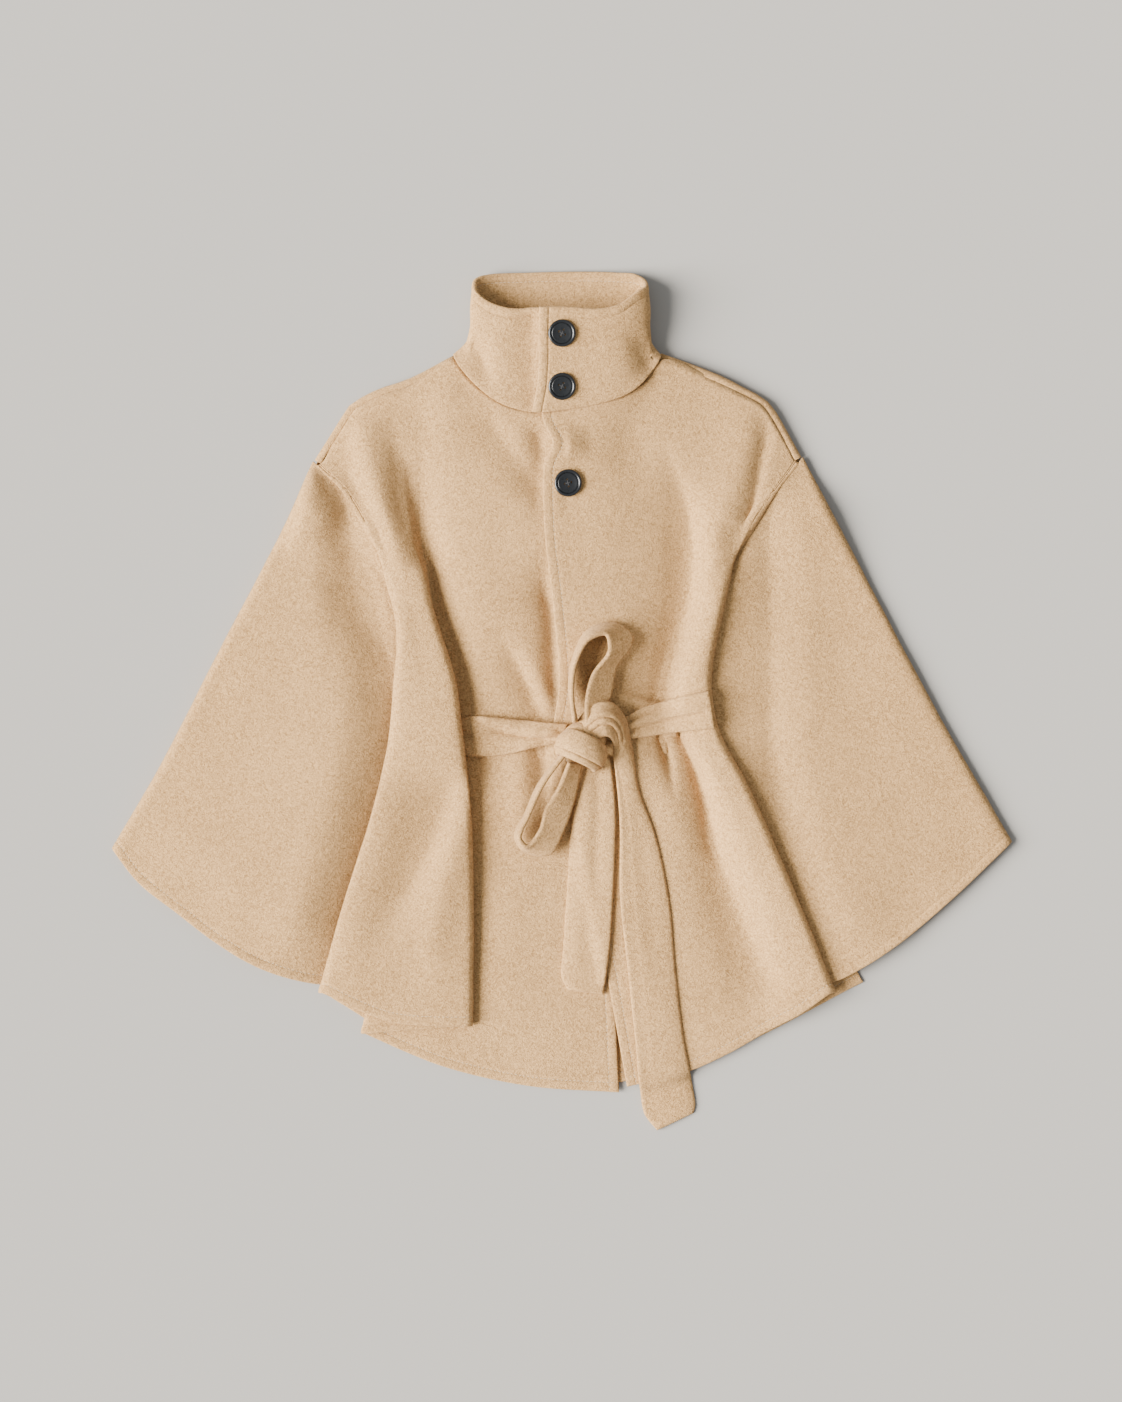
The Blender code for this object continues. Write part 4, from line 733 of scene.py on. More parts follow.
# ---------------------------------------------------------------- shading
class Signal:
    """A shader socket that takes part in sums; node() makes any other node."""

    def __init__(self, tree, socket=None):
        self.tree = tree
        self.socket = socket

    def node(self, kind, settings=None, inputs=None, output=0):
        """Make a node: its settings first, then the values or links of its sockets."""
        made = self.tree.nodes.new(kind)
        for name, value in (settings or {}).items():
            setattr(made, name, value)
        for key, value in (inputs or {}).items():
            if isinstance(value, Signal):
                self.tree.links.new(value.socket, made.inputs[key])
            else:
                made.inputs[key].default_value = value
        return Signal(self.tree, made.outputs[output])

    def sum(self, operation, first, second, clamp=False):
        """A Math node of two values."""
        settings = {"operation": operation, "use_clamp": clamp}
        return self.node("ShaderNodeMath", settings, {0: first, 1: second})

    def __add__(self, other):
        return self.sum("ADD", self, other)

    __radd__ = __add__

    def __sub__(self, other):
        return self.sum("SUBTRACT", self, other)

    def __mul__(self, other):
        return self.sum("MULTIPLY", self, other)

    def clamped(self):
        """The value held between 0 and 1."""
        return self.sum("ADD", self, 0.0, clamp=True)

    def mix(self, first, second):
        """A colour between two colours, by this value."""
        return self.node("ShaderNodeMix", {"data_type": "RGBA"}, {0: self, 6: first, 7: second}, 2)

    def noise(self, place, scale, detail=2.0, roughness=0.5, distortion=0.0):
        """Noise over a place."""
        return self.node("ShaderNodeTexNoise", None, {"Vector": place, "Scale": scale, "Detail": detail,
                                                      "Roughness": roughness, "Distortion": distortion})

    def feed(self, shader, name):
        """Send this value to a socket of a shader."""
        self.tree.links.new(self.socket, shader.inputs[name])


def finish(name, build):
    """The material of this name, built when it is first asked for."""
    material = bpy.data.materials.get(name)
    if material is None:
        material = bpy.data.materials.new(name)
        material.use_nodes = True
        tree = material.node_tree
        build(tree.nodes["Principled BSDF"], Signal(tree))
    return material


def object_place(blank):
    """Places in an object's own space."""
    return blank.node("ShaderNodeTexCoord", output="Object")


def wool(name):
    """Brushed coating wool: a curled nap of light tips over darker gaps."""
    def build(shader, blank):
        cloth = bpy.context.scene.cape_cloth
        place = object_place(blank)
        curl = blank.noise(place, 430.0, 2.5, 0.62, 1.4)
        fibre = blank.noise(place, 1250.0, 2.0, 0.6, 0.4)
        cloud = blank.noise(place, 16.0, 2.0)
        tips = ((curl - 0.5) * 4.0 + (fibre - 0.5) * 2.0 + (cloud - 0.5) * 0.4 + 0.6).clamped()
        tips.mix((*cloth.dark, 1), (*cloth.light, 1)).feed(shader, "Base Color")
        height = curl * 0.75 + fibre * 0.25
        bump = blank.node("ShaderNodeBump", None, {"Strength": 0.9, "Distance": 1.5 * MM, "Height": height})
        bump.feed(shader, "Normal")
        shader.inputs["Roughness"].default_value = 0.95
        shader.inputs["Specular IOR Level"].default_value = 0.08
        shader.inputs["Sheen Weight"].default_value = 0.12
        shader.inputs["Sheen Roughness"].default_value = 0.45
        shader.inputs["Sheen Tint"].default_value = (1.0, 0.9, 0.74, 1.0)
    return finish(name, build)


def twisted_thread(name, scale, dark, light, roughness):
    """A finish for twisted thread: two colours by a fine noise."""
    def build(shader, blank):
        twist = blank.noise(object_place(blank), scale, 1.0)
        twist.mix((*dark, 1), (*light, 1)).feed(shader, "Base Color")
        shader.inputs["Roughness"].default_value = roughness
    return finish(name, build)


def thread_finish():
    """Cotton topstitching thread."""
    colour = bpy.context.scene.cape_cloth.thread_colour
    return twisted_thread("topstitch thread", 2200.0, tuple(c * 0.7 for c in colour), colour, 0.75)


def button_thread():
    """Waxed black thread that holds the buttons."""
    return twisted_thread("button thread", 3000.0, (0.01, 0.01, 0.011), (0.035, 0.034, 0.036), 0.6)


def button_finish():
    """Moulded button: near black, polished, with faint handling marks."""
    def build(shader, blank):
        place = object_place(blank)
        cloud = blank.noise(place, 260.0, 3.0)
        marks = blank.noise(place, 1900.0, 2.0)
        colour = bpy.context.scene.cape_buttons.colour
        grey = tuple(c * 2.0 + 0.001 for c in colour)
        cloud.mix((*colour, 1), (*grey, 1)).feed(shader, "Base Color")
        (0.2 + cloud * 0.12 + marks * 0.06).feed(shader, "Roughness")
        bump = blank.node("ShaderNodeBump", None, {"Strength": 0.05, "Distance": 0.1 * MM, "Height": marks})
        bump.feed(shader, "Normal")
    return finish("polished button", build)


def floor_finish():
    """Plain pale floor, matt, very slightly clouded."""
    def build(shader, blank):
        colour = bpy.context.scene.cape_stage.floor
        light = tuple(min(c * 1.02, 1) for c in colour)
        cloud = blank.noise(object_place(blank), 3.0, 1.0)
        cloud.mix((*colour, 1), (*light, 1)).feed(shader, "Base Color")
        shader.inputs["Roughness"].default_value = 0.8
        shader.inputs["Specular IOR Level"].default_value = 0.1
    return finish("pale floor", build)


# ---------------------------------------------------------------- the body
def shoulder_offset(outline, x, inset):
    """Points of a shoulder outline at x, moved in by a distance square to it."""
    x = np.asarray(x, dtype=float)
    low, high = np.maximum(x - 2, outline[0][0]), np.minimum(x + 2, outline[-1][0])
    slope = (by_x(outline, high) - by_x(outline, low)) / (high - low)
    length = np.hypot(1, slope)
    return x + slope * inset / length, by_x(outline, x) - inset / length


def top_edge(shoulder, neck):
    """Top edge of a front: the shoulder seam, moved in from the outline, then the neck."""
    seam = [tuple(map(float, shoulder_offset(shoulder, x, SHOULDER_WRAP))) for x, _ in shoulder[1:-1]]
    tip = shoulder[0] if shoulder[0][0] < neck[0][0] else shoulder[-1]
    side = tuple(map(float, shoulder_offset(shoulder, tip[0] * 0.995, SHOULDER_TIP_WRAP)))
    return sorted([side, *seam, *neck])


def raise_top(grid, edge, rows):
    """Bring a front's top edge to its shoulder and neck seams."""
    rows = spread(rows)[:, None]
    shift = by_x(edge, grid[0, :, 0]) - grid[0, :, 1]
    grid[..., 1] += shift[None, :] * ease(1 - rows / 2)


def front_grid(levels, section, steps, rows, edge, folds, showing):
    """A front before its edges are drawn: its sections, top edge and pressed folds."""
    grid = panel([section(level) for level in levels], steps, rows)
    raise_top(grid, edge, rows)
    places = spread(steps)
    down = ease(spread(rows) / 0.6)[:, None]
    for group, shown in zip(folds, showing):
        press(grid, group, np.interp(places, *zip(*shown))[None, :] * down)
    grid[..., 2] = np.maximum(grid[..., 2], LOWEST_FRONT)
    return grid


def left_front_grid():
    """The front lying underneath, with its pleat."""
    middle = ((0, 0), (9.9, 0), (10.4, 1), (13, 1))
    outer = ((0, 0), (2.6, 0), (3.2, 1), (5.0, 1), (6.0, 0), (13, 0))
    whole = ((0, 0.5), (1.0, 0.7), (3.2, 1), (13, 1))
    grid = front_grid(LEFT_FRONT, left_section, LEFT_STEPS, LEFT_ROWS, top_edge(LEFT_SHOULDER, LEFT_NECK),
                      (LEFT_FOLDS[4:], PLEAT_FOLDS, LEFT_FOLDS[:4]), (middle, outer, whole))
    grid = edged(grid, LEFT_STEPS[0], SEAM, SEAM_SPARE, axis=1)
    grid = edged(grid, LEFT_STEPS[-1], HEM, FRONT_SPARE, axis=1, end=True)
    return edged(grid, LEFT_ROWS[-1], HEM, HEM_SPARE, axis=0, end=True)


def right_front_grid():
    """The front lying on top, with its waving edge."""
    shown = ((0, 1), (5.2, 1), (6.0, 0), (8, 0))
    grid = front_grid(RIGHT_FRONT, right_section, RIGHT_STEPS, RIGHT_ROWS,
                      top_edge(RIGHT_SHOULDER, RIGHT_NECK), (RIGHT_FOLDS,), (shown,))
    wave = PLACKET_WAVE
    inside = 1 - ease((grid[..., 0] - grid[:, :1, 0]) / wave["fade"])
    swell = np.exp(-((grid[..., 1] - wave["y"]) / wave["reach"])**2) * inside
    grid[..., 0] += wave["shift"] * swell
    grid[..., 2] += wave["lift"] * swell
    grid = edged(grid, RIGHT_STEPS[0], HEM, FRONT_SPARE, axis=1)
    grid = edged(grid, RIGHT_STEPS[-1], SEAM, SEAM_SPARE, axis=1, end=True)
    return edged(grid, RIGHT_ROWS[-1], HEM, HEM_SPARE, axis=0, end=True)


def back_grid():
    """Back, flat on the floor, its shoulders wrapped forward to their seams."""
    grid = panel([[(x, y, FLOOR_LAYER) for x, y in level.points] for level in BACK], BACK_STEPS, BACK_ROWS)
    x = grid[0, :, 0]
    shoulder = np.where(x < NECK_MIDDLE, 0, 1)
    away = np.abs(x - NECK_MIDDLE)
    top = np.interp(away, *zip(*SHOULDER_HEIGHTS)) - FLOOR_LAYER
    share = 0.5 + 0.5 * ease((away - SHOULDER_HEIGHTS[0][0]) / 40)
    at_neck = (x > BACK_NECK[0][0]) & (x < BACK_NECK[-1][0])
    rows = []
    for inset, rise in BACK_WRAP:
        left, right = (shoulder_offset(s, x, inset) for s in (LEFT_SHOULDER, RIGHT_SHOULDER))
        px = np.where(at_neck, x, np.where(shoulder == 0, left[0], right[0]))
        py = np.where(at_neck, by_x(BACK_NECK, x) - inset, np.where(shoulder == 0, left[1], right[1]))
        pz = FLOOR_LAYER + rise * np.where(at_neck, BACK_NECK_TURN, top * share)
        rows.append(np.stack((px, py, pz), axis=1))
    grid = np.concatenate((np.array(rows), grid), axis=0)
    grid = edged(grid, BACK_STEPS[0], SEAM, 12, axis=1)
    grid = edged(grid, BACK_STEPS[-1], SEAM, 12, axis=1, end=True)
    return edged(grid, BACK_ROWS[-1], HEM, 16, axis=0, end=True)


def armhole_line(front, column, shape):
    """Armhole seam of a sleeve: beside the edge of its front as far as it shows, then under the body."""
    seam = front[:sum(LEFT_ROWS[:2]) + 1:4, column]
    run = np.gradient(seam[:, :2], axis=0)
    away = np.stack((run[:, 1], -run[:, 0]), axis=1) / np.linalg.norm(run, axis=1, keepdims=True)
    away *= np.sign((away * seam[:, :2]).sum(1, keepdims=True))
    line = [(*(spot[:2] - step * ARMHOLE_LAP), min(spot[2] - ARMHOLE_DROP, ARMHOLE_FOOT))
            for spot, step in zip(seam, away)]
    line[0] = tuple(a + (a - b) * 0.4 for a, b in zip(line[0], line[1]))
    return line + list(shape["armhole"])


def drape(levels, y, clear):
    """Loft of a sleeve's upper layer, by how far it is clear of the body's side."""
    heights, *columns = zip(*levels)
    start, run, steep, loft, swell, reach = (np.interp(y, heights, column) for column in columns)
    share = np.clip((clear - start) / run, 0, 1)
    rise = ease(share) * (1 - steep) + (1 - (1 - share)**STEEP_POWER) * steep
    side = swell * ease(clear / 12 + 1) * np.clip(1 - clear / reach, 0, 1)**1.5
    return loft * rise + side + SLEEVE_CROWN * ease((clear - reach) / CROWN_RUN)


def sleeve_grid(shape, front, column, hand, folds):
    """A sleeve laid flat: a tube folded at its outer edge and under the arm. hand is -1 at the left."""
    back_line = [level.points[0 if hand < 0 else -1] for level in BACK]
    armhole = armhole_line(front, column, shape)
    t = np.linspace(0, 1, SLEEVE_DOWN + 1)[:, None]
    outer, under = along(shape["outer"], t[:, 0]), along(shape["under"], t[:, 0])
    width = np.linalg.norm(outer - under, axis=1)[:, None]
    even = np.linspace(0, 1, SLEEVE_ACROSS + 1)[None, :]
    s = (even - ACROSS_CROWDING * np.sin(2 * math.pi * even)) * np.ones_like(t)
    arm, hem = along(armhole, s[0]), along(shape["hem"], s[0])
    arm_flat = arm[:, :2] - (arm[0, :2] * (1 - s[0])[:, None] + arm[-1, :2] * s[0][:, None])
    hem_flat = hem - (hem[0] * (1 - s[0])[:, None] + hem[-1] * s[0][:, None])
    flat = (outer[:, None] * (1 - s)[..., None] + under[:, None] * s[..., None]
            + (1 - t)[..., None] * arm_flat[None] + t[..., None] * hem_flat[None])
    x, y = flat[..., 0], flat[..., 1]
    inside_back = hand * (by_y(back_line, y) - x)
    floor = FLOOR_LAYER + BACK_LAYER_RISE * ease((inside_back + BACK_STEP_START) / BACK_STEP_RUN)
    clear = hand * (x - by_y(shape["side"], y))
    drop, reach = shape["fall"]
    loft = drape(shape["drape"], y, clear) - drop * ease(1 - s * width / reach) * ease(t / FALL_RUN)
    loft = loft * (1 - HEM_SETTLE * ease((t - HEM_SETTLE_FROM) / (1 - HEM_SETTLE_FROM)))
    leave = ease(t / ARMHOLE_RUN)
    top = arm[None, :, 2] * (1 - leave) + (SLEEVE_UNDER_BODY + loft) * leave
    upper = np.stack((x, y, top), axis=2)
    press(upper, folds, ease(clear / PRESS_ENTRY) * ease(t / PRESS_RUN))
    top = np.maximum(upper[..., 2], floor + LEAST_ROOM)
    middle = (top + floor) / 2
    bend = np.clip(np.minimum(s * width / SLEEVE_FOLD_REACH, (1 - s) * width / UNDERARM_ROLL), 0, 1)
    open_share = np.sqrt(1 - (1 - bend)**2)
    upper[..., 2] = middle + (top - middle) * open_share
    lower = np.stack((x, y, middle - (middle - floor) * open_share), axis=2)
    grid = np.concatenate((upper, lower[:, ::-1][:, 1:]), axis=1)
    grid = edged(grid, 24, HEM, 12, axis=0, end=True)
    return edged(grid, 12, SEAM, 6, axis=0)


def collar_grid():
    """Stand collar of two walls, a puffed tube lying on its back, its ends lapped at the front."""
    sweep = 360 + COLLAR_OVER_ANGLE - COLLAR_UNDER_ANGLE
    turn = 360 + COLLAR_UNDER_ANGLE - COLLAR_OVER_ANGLE
    swept = -np.linspace(0, sweep, COLLAR_AROUND + 1)[None, :]
    h = np.linspace(0, 1, COLLAR_UP + 1)[:, None]
    angle = np.radians(COLLAR_OVER_ANGLE + swept)
    middle, half, side, top, bottom = (c[:, None] for c in along(COLLAR_LEVELS, h[:, 0]).T)
    lap = COLLAR_LAP_DROP * ease((-swept - turn + 70) / 55)
    cos, up = (np.sign(v) * np.abs(v)**COLLAR_SQUARE for v in (np.cos(angle), np.sin(angle)))
    x = middle + (half - lap * COLLAR_LAP_INSET) * cos
    z = side + up * np.where(up > 0, top - lap - side, side - bottom)
    front_share = ease(0.5 + up * COLLAR_SIDE_BLEND)
    seam = by_x(COLLAR_FRONT_SEAM, x) * front_share + by_x(COLLAR_BACK_SEAM, x) * (1 - front_share)
    rim = by_x(COLLAR_FRONT_RIM, x) * front_share + by_x(COLLAR_BACK_RIM, x) * (1 - front_share)
    grid = np.stack((x, seam + (rim - seam) * h, z), axis=2)
    press(grid, COLLAR_FOLDS[:3], ease(up * COLLAR_FOLD_BLEND))
    press(grid, COLLAR_FOLDS[3:], ease(up * COLLAR_FOLD_BLEND) * ease((-swept - turn + 30) / 20))
    grid[..., 2] += COLLAR_LAP_LIFT * np.exp(-(swept / 9)**2)
    grid = edged(grid, 14, HEM, 4, axis=1)
    grid = edged(grid, 14, SEAM, 6, axis=1, end=True)
    grid = edged(grid, 12, HEM, 6, axis=0, end=True)
    return edged(grid, 8, SEAM, 4, axis=0)


# ---------------------------------------------------------------- pieces that lie on the cloth
class Ground:
    """What lies below a piece: finished pieces, met by a line straight down."""

    def __init__(self, *pieces):
        bpy.context.view_layer.update()
        depsgraph = bpy.context.evaluated_depsgraph_get()
        self.trees = [BVHTree.FromObject(piece, depsgraph) for piece in pieces]

    def height(self, x, y, start=ABOVE_ALL):
        """Top of what lies at a place, in millimetres."""
        hits = [tree.ray_cast(Vector((x, y, start)) * MM, Vector((0, 0, -1)))[0] for tree in self.trees]
        return max([hit.z / MM for hit in hits if hit is not None], default=0.0)

    def highest(self, x, y, reach, start=ABOVE_ALL):
        """Highest of nine places round a point."""
        steps = (-reach, 0.0, reach)
        return max(self.height(x + dx, y + dy, start) for dx in steps for dy in steps)


def relief(across, share, width, creases):
    """Height that the creases of a band add, at shares across and along it."""
    total = np.zeros((across + share).shape)
    for crease in creases:
        t = (share - crease.start[0]) / (crease.end[0] - crease.start[0])
        line = crease.start[1] + (crease.end[1] - crease.start[1]) * t
        fade = ease(t / 0.08 + 0.3) * ease((1 - t) / 0.15)
        total += crease.height * np.exp(-((across - line) * width / crease.width)**2) * fade
    return total


def band(stretch, ground):
    """A stretch of belt laid over the cloth, bridging its hollows; droop says which edges sink into them."""
    cloth = bpy.context.scene.cape_cloth
    rungs, columns, rows = stretch.rungs, stretch.columns, stretch.rows
    start, droop = stretch.start, stretch.droop
    share = np.linspace(0, 1, rows + 1)
    left, right = along([r.left for r in rungs], share), along([r.right for r in rungs], share)
    lift = along([(r.lift, 0.0) for r in rungs], share)[:, 0]
    across = np.linspace(0, 1, columns + 1)
    flat = left[:, None] + (right - left)[:, None] * across[None, :, None]
    height = np.array([[ground.highest(x, y, BAND_REACH, start) for x, y in row] for row in flat])
    height += lift[:, None] + BAND_CLEARANCE + cloth.band / MM / 2
    for _ in range(BAND_SMOOTHING):
        padded = np.pad(height, 1, mode="edge")
        mean = (padded[:-2, 1:-1] + padded[2:, 1:-1] + padded[1:-1, :-2] + padded[1:-1, 2:]) / 4
        height = np.maximum(height, mean)
    width = np.linalg.norm(right - left, axis=1)[:, None]
    below = np.array([[ground.height(x, y, start) for x, y in row] for row in flat])
    below += EDGE_LIFT * lift[:, None] + EDGE_REST
    edge = droop[0] * (1 - across[None, :])**EDGE_POWER + droop[1] * across[None, :]**EDGE_POWER
    height = height + (np.maximum(below, height - BAND_DROOP) - height) * edge
    height = height + relief(across[None, :], share[:, None], width, stretch.creases)
    grid = np.concatenate((flat, height[..., None]), axis=2)
    across, down = (math.ceil(RIM[-1].distance * 1.7 / gap) for gap in (
        width.min() / columns, np.linalg.norm(grid[-1] - grid[-2], axis=1).min()))
    grid = edged(rimmed(grid, across), down, RIM, 2, axis=0, end=True)
    shares = wall_shares(grid.shape, left=RIM, right=RIM, bottom=RIM)
    return shell(stretch.name, grid, cloth.band, shares, wool("belt wool"))


def loop_piece(name, rungs, columns, rows):
    """A bow loop: a band standing on edge between its lower and its upper edge."""
    cloth = bpy.context.scene.cape_cloth
    share = np.linspace(0, 1, rows + 1)
    low, high = along([r[0] for r in rungs], share), along([r[1] for r in rungs], share)
    across = np.linspace(0, 1, columns + 1)[None, :, None]
    grid = low[:, None] + (high - low)[:, None] * across
    grid = rimmed(grid, 3)
    shares = wall_shares(grid.shape, left=RIM, right=RIM)
    return shell(name, grid, cloth.band, shares, wool("belt wool"))


def knot_wrap():
    """The turn of belt that holds the bow: a band bent over the lump of the knot."""
    cloth = bpy.context.scene.cape_cloth
    columns, rows = 30, 54
    v = np.linspace(-1, 1, columns + 1)[None, :]
    angle = np.radians(np.linspace(-KNOT["turn"], KNOT["turn"], rows + 1))[:, None]
    length = np.array(KNOT["length"]) / np.linalg.norm(KNOT["length"])
    width = np.array((-length[1], length[0]))
    reach = KNOT["half_length"] * np.sin(angle) * (1 - KNOT_NARROWING * v**2)
    offset = KNOT["half_width"] * v * (1 - 0.1 * np.sin(angle)**2)
    x = KNOT["centre"][0] + length[0] * reach + width[0] * offset
    y = KNOT["centre"][1] + length[1] * reach + width[1] * offset - KNOT_SAG * (1 - np.cos(angle))
    z = KNOT["centre"][2] + KNOT["height"] * np.cos(angle) - KNOT_EDGE_DROP * v**2
    z = z - KNOT_GROOVE["depth"] * np.exp(-((v - KNOT_GROOVE["place"]) / KNOT_GROOVE["width"])**2)
    grid = np.stack((x, y, z), axis=2)
    grid = rimmed(grid, 4)
    shares = wall_shares(grid.shape, left=RIM, right=RIM)
    return shell("knot_wrap", grid, cloth.band, shares, wool("belt wool"))


def knot_core():
    """The lump inside the knot, where the belt's turns are packed."""
    bm = bmesh.new()
    bmesh.ops.create_uvsphere(bm, u_segments=48, v_segments=24, radius=0.5)
    for vert in bm.verts:
        vert.co = Vector([KNOT_CORE["centre"][i] + vert.co[i] * KNOT_CORE["size"][i] for i in range(3)]) * MM
    return add_piece("knot_core", finished_mesh("knot_core", bm), wool("belt wool"))


# ---------------------------------------------------------------- buttons
def button_piece(number, x, y, ground):
    """A sewn button with a raised rim, a dished face, four holes and its thread."""
    around = [(x + BUTTON_RADIUS * math.cos(a), y + BUTTON_RADIUS * math.sin(a))
              for a in np.linspace(0, 2 * math.pi, 9)[:-1]]
    spots = np.array([(px, py, ground.height(px, py)) for px, py in [*around, (x, y)]])
    flat = np.column_stack((spots[:, :2], np.ones(len(spots))))
    slope = np.linalg.lstsq(flat, spots[:, 2], rcond=None)[0]
    normal = Vector((-slope[0], -slope[1], 1)).normalized()
    low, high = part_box(f"button_{number}")
    centre = Vector((x, y, (low[2] + high[2]) / 2 / MM)) - normal * BUTTON_THICK / 2
    place = Matrix.Translation(centre) @ normal.to_track_quat("Z", "Y").to_matrix().to_4x4()
    bm = bmesh.new()
    corners = [bm.verts.new(Vector((r, 0, z)) * MM) for r, z in BUTTON_PROFILE]
    edges = [bm.edges.new(pair) for pair in zip(corners, corners[1:])]
    sides = bpy.context.scene.cape_buttons.sides
    bmesh.ops.spin(bm, geom=corners + edges, axis=(0, 0, 1), cent=(0, 0, 0), angle=2 * math.pi, steps=sides,
                   use_merge=True)
    bmesh.ops.remove_doubles(bm, verts=bm.verts, dist=1e-6)
    bmesh.ops.recalc_face_normals(bm, faces=bm.faces)
    blank = bpy.data.objects.new("blank", finished_mesh("blank", bm))
    bpy.context.scene.collection.objects.link(blank)
    drill = drill_piece()
    cut = blank.modifiers.new("holes", "BOOLEAN")
    cut.object = drill
    soft = blank.modifiers.new("soft", "BEVEL")
    soft.width = 0.12 * MM
    soft.segments = 2
    soft.limit_method = "ANGLE"
    soft.angle_limit = math.radians(55)
    bpy.context.view_layer.update()
    drilled = bpy.data.meshes.new_from_object(blank.evaluated_get(bpy.context.evaluated_depsgraph_get()))
    drilled.transform(Matrix.Diagonal((MM, MM, MM, 1)) @ place @ Matrix.Diagonal((1 / MM, 1 / MM, 1 / MM, 1)))
    for spare in (blank, drill):
        bpy.data.objects.remove(spare)
    piece = add_piece(f"sewn_button_{number}", drilled, button_finish())
    drilled.set_sharp_from_angle(angle=math.radians(50))
    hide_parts(f"button_{number}")
    button_threads(number, place)


def drill_piece():
    """Cutter of the four thread holes."""
    bm = bmesh.new()
    half = BUTTON_HOLE_SPACING / 2
    for side, end in ((-1, -1), (-1, 1), (1, -1), (1, 1)):
        made = bmesh.ops.create_cone(bm, cap_ends=True, segments=20, radius1=BUTTON_HOLE_RADIUS * MM,
                                     radius2=BUTTON_HOLE_RADIUS * MM, depth=3 * BUTTON_THICK * MM)
        bmesh.ops.translate(bm, verts=made["verts"], vec=Vector((side * half, end * half, 0)) * MM)
    drill = bpy.data.objects.new("drill", finished_mesh("drill", bm))
    bpy.context.scene.collection.objects.link(drill)
    return drill


def button_threads(number, place):
    """Threads crossed over the face, sunk into the four holes."""
    half = BUTTON_HOLE_SPACING / 2
    spots, frames = [], []
    for first, second in (((-1, -1), (1, 1)), ((-1, 1), (1, -1))):
        for shift in (-0.32, 0.32):
            start, end = (Vector((side * half, rise * half, 0)) for side, rise in (first, second))
            run = end - start
            aside = Vector((-run.y, run.x, 0)).normalized() * shift
            turn = run.to_track_quat("X", "Z").to_matrix()
            for k in range(12):
                share = (k + 0.5) / 12
                dip = 2.0 * (2 * share - 1)**6
                spots.append(place @ (start.lerp(end, share) + aside + Vector((0, 0, 3.25 - dip))))
                frames.append(place.to_3x3() @ turn @ Matrix.Diagonal((run.length / 18, 0.3, 0.3)))
    beads(f"button_thread_{number}", spots, frames, button_thread())


# ---------------------------------------------------------------- operators
GRIDS = {}


def made(name):
    """A piece that an earlier step has made."""
    piece = bpy.data.objects.get(name)
    if piece is None:
        raise RuntimeError(f"{name} has to be made first")
    return piece


def dress(name, grid, shares, node, material="body wool", closed=False, wall=None):
    """Make a shell, keep its grid for later steps and let it stand for its node."""
    cloth = bpy.context.scene.cape_cloth
    seed = Vector((len(name), len(node), 0.5))
    grid = uneven(grid, cloth.unevenness, seed)
    GRIDS[name] = (grid, facing(grid), shares)
    piece = shell(name, grid, wall or cloth.wall, shares, wool(material), closed)
    declare(node)
    return piece


def declare(node):
    """Hide the imported part that a sheet stands for."""
    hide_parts(node)


class CAPE_OT_back(bpy.types.Operator):
    """Lay the back panel on the floor"""

    bl_idname = "cape.back"
    bl_label = "Back"

    def execute(self, context):
        grid = back_grid()
        shares = wall_shares(grid.shape, left=SEAM, right=SEAM, bottom=HEM)
        dress("cape_back", grid, shares, "back_panel")
        return {"FINISHED"}


class CAPE_OT_fronts(bpy.types.Operator):
    """Lay both fronts, with the pleat, the pressed folds and the waving front edge"""

    bl_idname = "cape.fronts"
    bl_label = "Fronts"

    def execute(self, context):
        left = left_front_grid()
        shares = wall_shares(left.shape, left=SEAM, right=HEM, bottom=HEM)
        dress("cape_front_left", left, shares, "front_left")
        right = right_front_grid()
        shares = wall_shares(right.shape, left=HEM, right=SEAM, bottom=HEM)
        dress("cape_front_right", right, shares, "front_right")
        return {"FINISHED"}


class CAPE_OT_sleeves(bpy.types.Operator):
    """Lay both sleeves, wide tubes folded flat"""

    bl_idname = "cape.sleeves"
    bl_label = "Sleeves"

    def execute(self, context):
        for name, shape, front, column, hand, folds, area in (
                ("left", LEFT_SLEEVE, "cape_front_left", 0, -1, LEFT_SLEEVE_FOLDS, 0.192),
                ("right", RIGHT_SLEEVE, "cape_front_right", -1, 1, RIGHT_SLEEVE_FOLDS, 0.188)):
            made(front)
            grid = sleeve_grid(shape, GRIDS[front][0], column, hand, folds)
            shares = wall_shares(grid.shape, top=SEAM, bottom=HEM)
            dress(f"cape_sleeve_{name}", grid, shares, f"sleeve_{name}", closed=True)
        return {"FINISHED"}


class CAPE_OT_collar(bpy.types.Operator):
    """Stand the two-ply collar, lapped at the front"""

    bl_idname = "cape.collar"
    bl_label = "Collar"

    def execute(self, context):
        grid = collar_grid()
        shares = wall_shares(grid.shape, left=HEM, right=SEAM, top=SEAM, bottom=HEM)
        dress("cape_collar", grid, shares, "collar", wall=context.scene.cape_cloth.band)
        return {"FINISHED"}


class CAPE_OT_belt(bpy.types.Operator):
    """Lay the belt round the waist, with its tails"""

    bl_idname = "cape.belt"
    bl_label = "Belt"

    def execute(self, context):
        back, left, right = made("cape_back"), made("cape_front_left"), made("cape_front_right")
        ground, inside = Ground(back, left, right), Ground(back)
        for stretch in STRETCHES:
            below = inside if stretch.node == "belt_inside" else ground
            piece = band(stretch, below)
            declare(stretch.node)
        return {"FINISHED"}


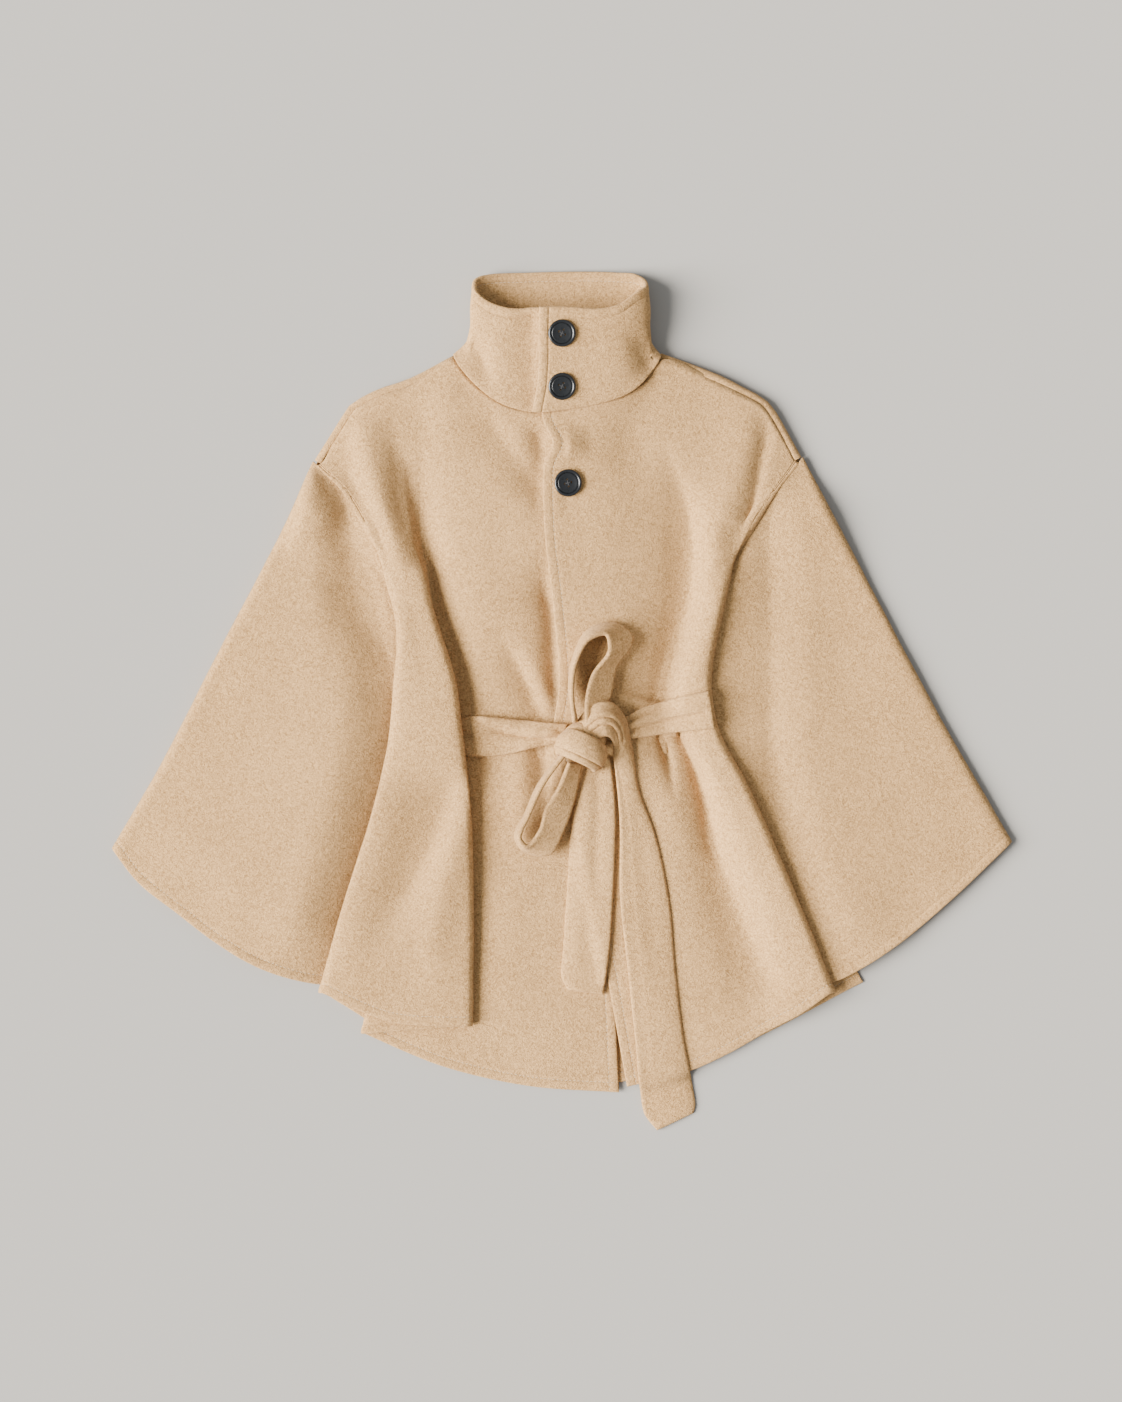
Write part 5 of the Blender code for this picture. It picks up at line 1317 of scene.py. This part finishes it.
class CAPE_OT_bow(bpy.types.Operator):
    """Stand the two loops of the bow and wrap the knot"""

    bl_idname = "cape.bow"
    bl_label = "Knot and bow"

    def execute(self, context):
        for name, rungs, node, flat in (
                ("bow_upper", LOOP_UP, "bow_loop_up", (0.036, 0.21)),
                ("bow_lower", LOOP_DOWN, "bow_loop_down", (0.030, 0.23))):
            piece = loop_piece(name, rungs, 12, 110)
            declare(node)
        wrap = knot_wrap()
        core = knot_core()
        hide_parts("belt_knot")
        return {"FINISHED"}


class CAPE_OT_sewing(bpy.types.Operator):
    """Topstitch the hems, the front edges and the collar"""

    bl_idname = "cape.sewing"
    bl_label = "Topstitching"

    def execute(self, context):
        cloth = context.scene.cape_cloth
        hem_row, edge = -1 - STITCH_LINE, STITCH_LINE
        lines = []
        for name, wall in (("cape_front_left", cloth.wall), ("cape_front_right", cloth.wall),
                           ("cape_back", cloth.wall)):
            lines.append(stitch_row(*GRIDS[name], wall, row=hem_row))
        lines.append(stitch_row(*GRIDS["cape_front_right"], cloth.wall, column=edge))
        lines.append(stitch_row(*GRIDS["cape_front_left"], cloth.wall, column=-1 - edge))
        stitches("sewing_body", lines, thread_finish())
        for side in ("left", "right"):
            grid = GRIDS[f"cape_sleeve_{side}"]
            upper = slice(0, SLEEVE_ACROSS + 1)
            stitches(f"sewing_sleeve_{side}", [stitch_row(*grid, cloth.wall, row=hem_row, part=upper)],
                     thread_finish())
        collar = GRIDS["cape_collar"]
        stitches("sewing_collar", [stitch_row(*collar, cloth.band, row=hem_row),
                                   stitch_row(*collar, cloth.band, column=edge)], thread_finish())
        return {"FINISHED"}


class CAPE_OT_buttons(bpy.types.Operator):
    """Sew on the three buttons"""

    bl_idname = "cape.buttons"
    bl_label = "Buttons"

    def execute(self, context):
        ground = Ground(made("cape_front_right"), made("cape_collar"))
        for number, (x, y) in enumerate(BUTTONS, start=1):
            button_piece(number, x, y, ground)
        return {"FINISHED"}


class CAPE_OT_stage(bpy.types.Operator):
    """Set the floor, the lights and the camera straight above"""

    bl_idname = "cape.stage"
    bl_label = "Stage"

    def execute(self, context):
        stage = context.scene.cape_stage
        bm = bmesh.new()
        bmesh.ops.create_grid(bm, x_segments=1, y_segments=1, size=FLOOR_REACH)
        mesh = finished_mesh("floor", bm)
        floor = bpy.data.objects.new("floor", mesh)
        context.scene.collection.objects.link(floor)
        mesh.materials.append(floor_finish())
        self.lights(context, stage)
        camera = bpy.data.cameras.new("camera")
        camera.sensor_fit = "VERTICAL"
        camera.sensor_height = 36.0
        camera.lens = camera.sensor_height * stage.camera_height / stage.frame_height
        camera.clip_end = 20.0
        eye = bpy.data.objects.new("camera", camera)
        eye.location = (*FRAME_MIDDLE, stage.camera_height)
        context.scene.collection.objects.link(eye)
        context.scene.camera = eye
        return {"FINISHED"}

    def lights(self, context, stage):
        """One wide soft light from the left, and even light from all round."""
        key = bpy.data.lights.new("key", "SUN")
        key.energy = stage.key
        key.angle = stage.softness
        key.color = LIGHT_COLOUR
        lamp = bpy.data.objects.new("key", key)
        lamp.rotation_euler = Vector(LIGHT_FROM).to_track_quat("Z", "Y").to_euler()
        context.scene.collection.objects.link(lamp)
        world = bpy.data.worlds.new("studio")
        world.use_nodes = True
        sky = world.node_tree.nodes["Background"]
        sky.inputs["Color"].default_value = SKY_COLOUR
        sky.inputs["Strength"].default_value = stage.fill
        context.scene.world = world


class CAPE_PT_panel(bpy.types.Panel):
    """Lists the steps that dress the cape."""

    bl_label = "Wool Cape"
    bl_idname = "CAPE_PT_panel"
    bl_space_type = "VIEW_3D"
    bl_region_type = "UI"
    bl_category = "Cape"

    def draw(self, context):
        scene = context.scene
        for group in (scene.cape_cloth, scene.cape_buttons, scene.cape_stage):
            box = self.layout.box()
            for name in group.bl_rna.properties.keys():
                if name not in ("rna_type", "name"):
                    box.prop(group, name)
        for step in STEPS:
            self.layout.operator(step.bl_idname)


GROUPS = (("cape_cloth", CapeCloth), ("cape_buttons", CapeButtons), ("cape_stage", CapeStage))
STEPS = (CAPE_OT_stage, CAPE_OT_back, CAPE_OT_fronts, CAPE_OT_sleeves, CAPE_OT_collar, CAPE_OT_belt,
         CAPE_OT_bow, CAPE_OT_sewing, CAPE_OT_buttons)


def register():
    """Make the cape's settings, steps and panel known to Blender."""
    for name, group in GROUPS:
        bpy.utils.register_class(group)
        setattr(bpy.types.Scene, name, PointerProperty(type=group))
    for step in (*STEPS, CAPE_PT_panel):
        bpy.utils.register_class(step)


def unregister():
    """Take them away again."""
    for step in reversed((*STEPS, CAPE_PT_panel)):
        bpy.utils.unregister_class(step)
    for name, group in reversed(GROUPS):
        delattr(bpy.types.Scene, name)
        bpy.utils.unregister_class(group)


def main():
    """Dress the cape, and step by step."""
    register()
    for step in STEPS:
        area, name = step.bl_idname.split(".")
        getattr(getattr(bpy.ops, area), name)()


if __name__ == "__main__":
    main()
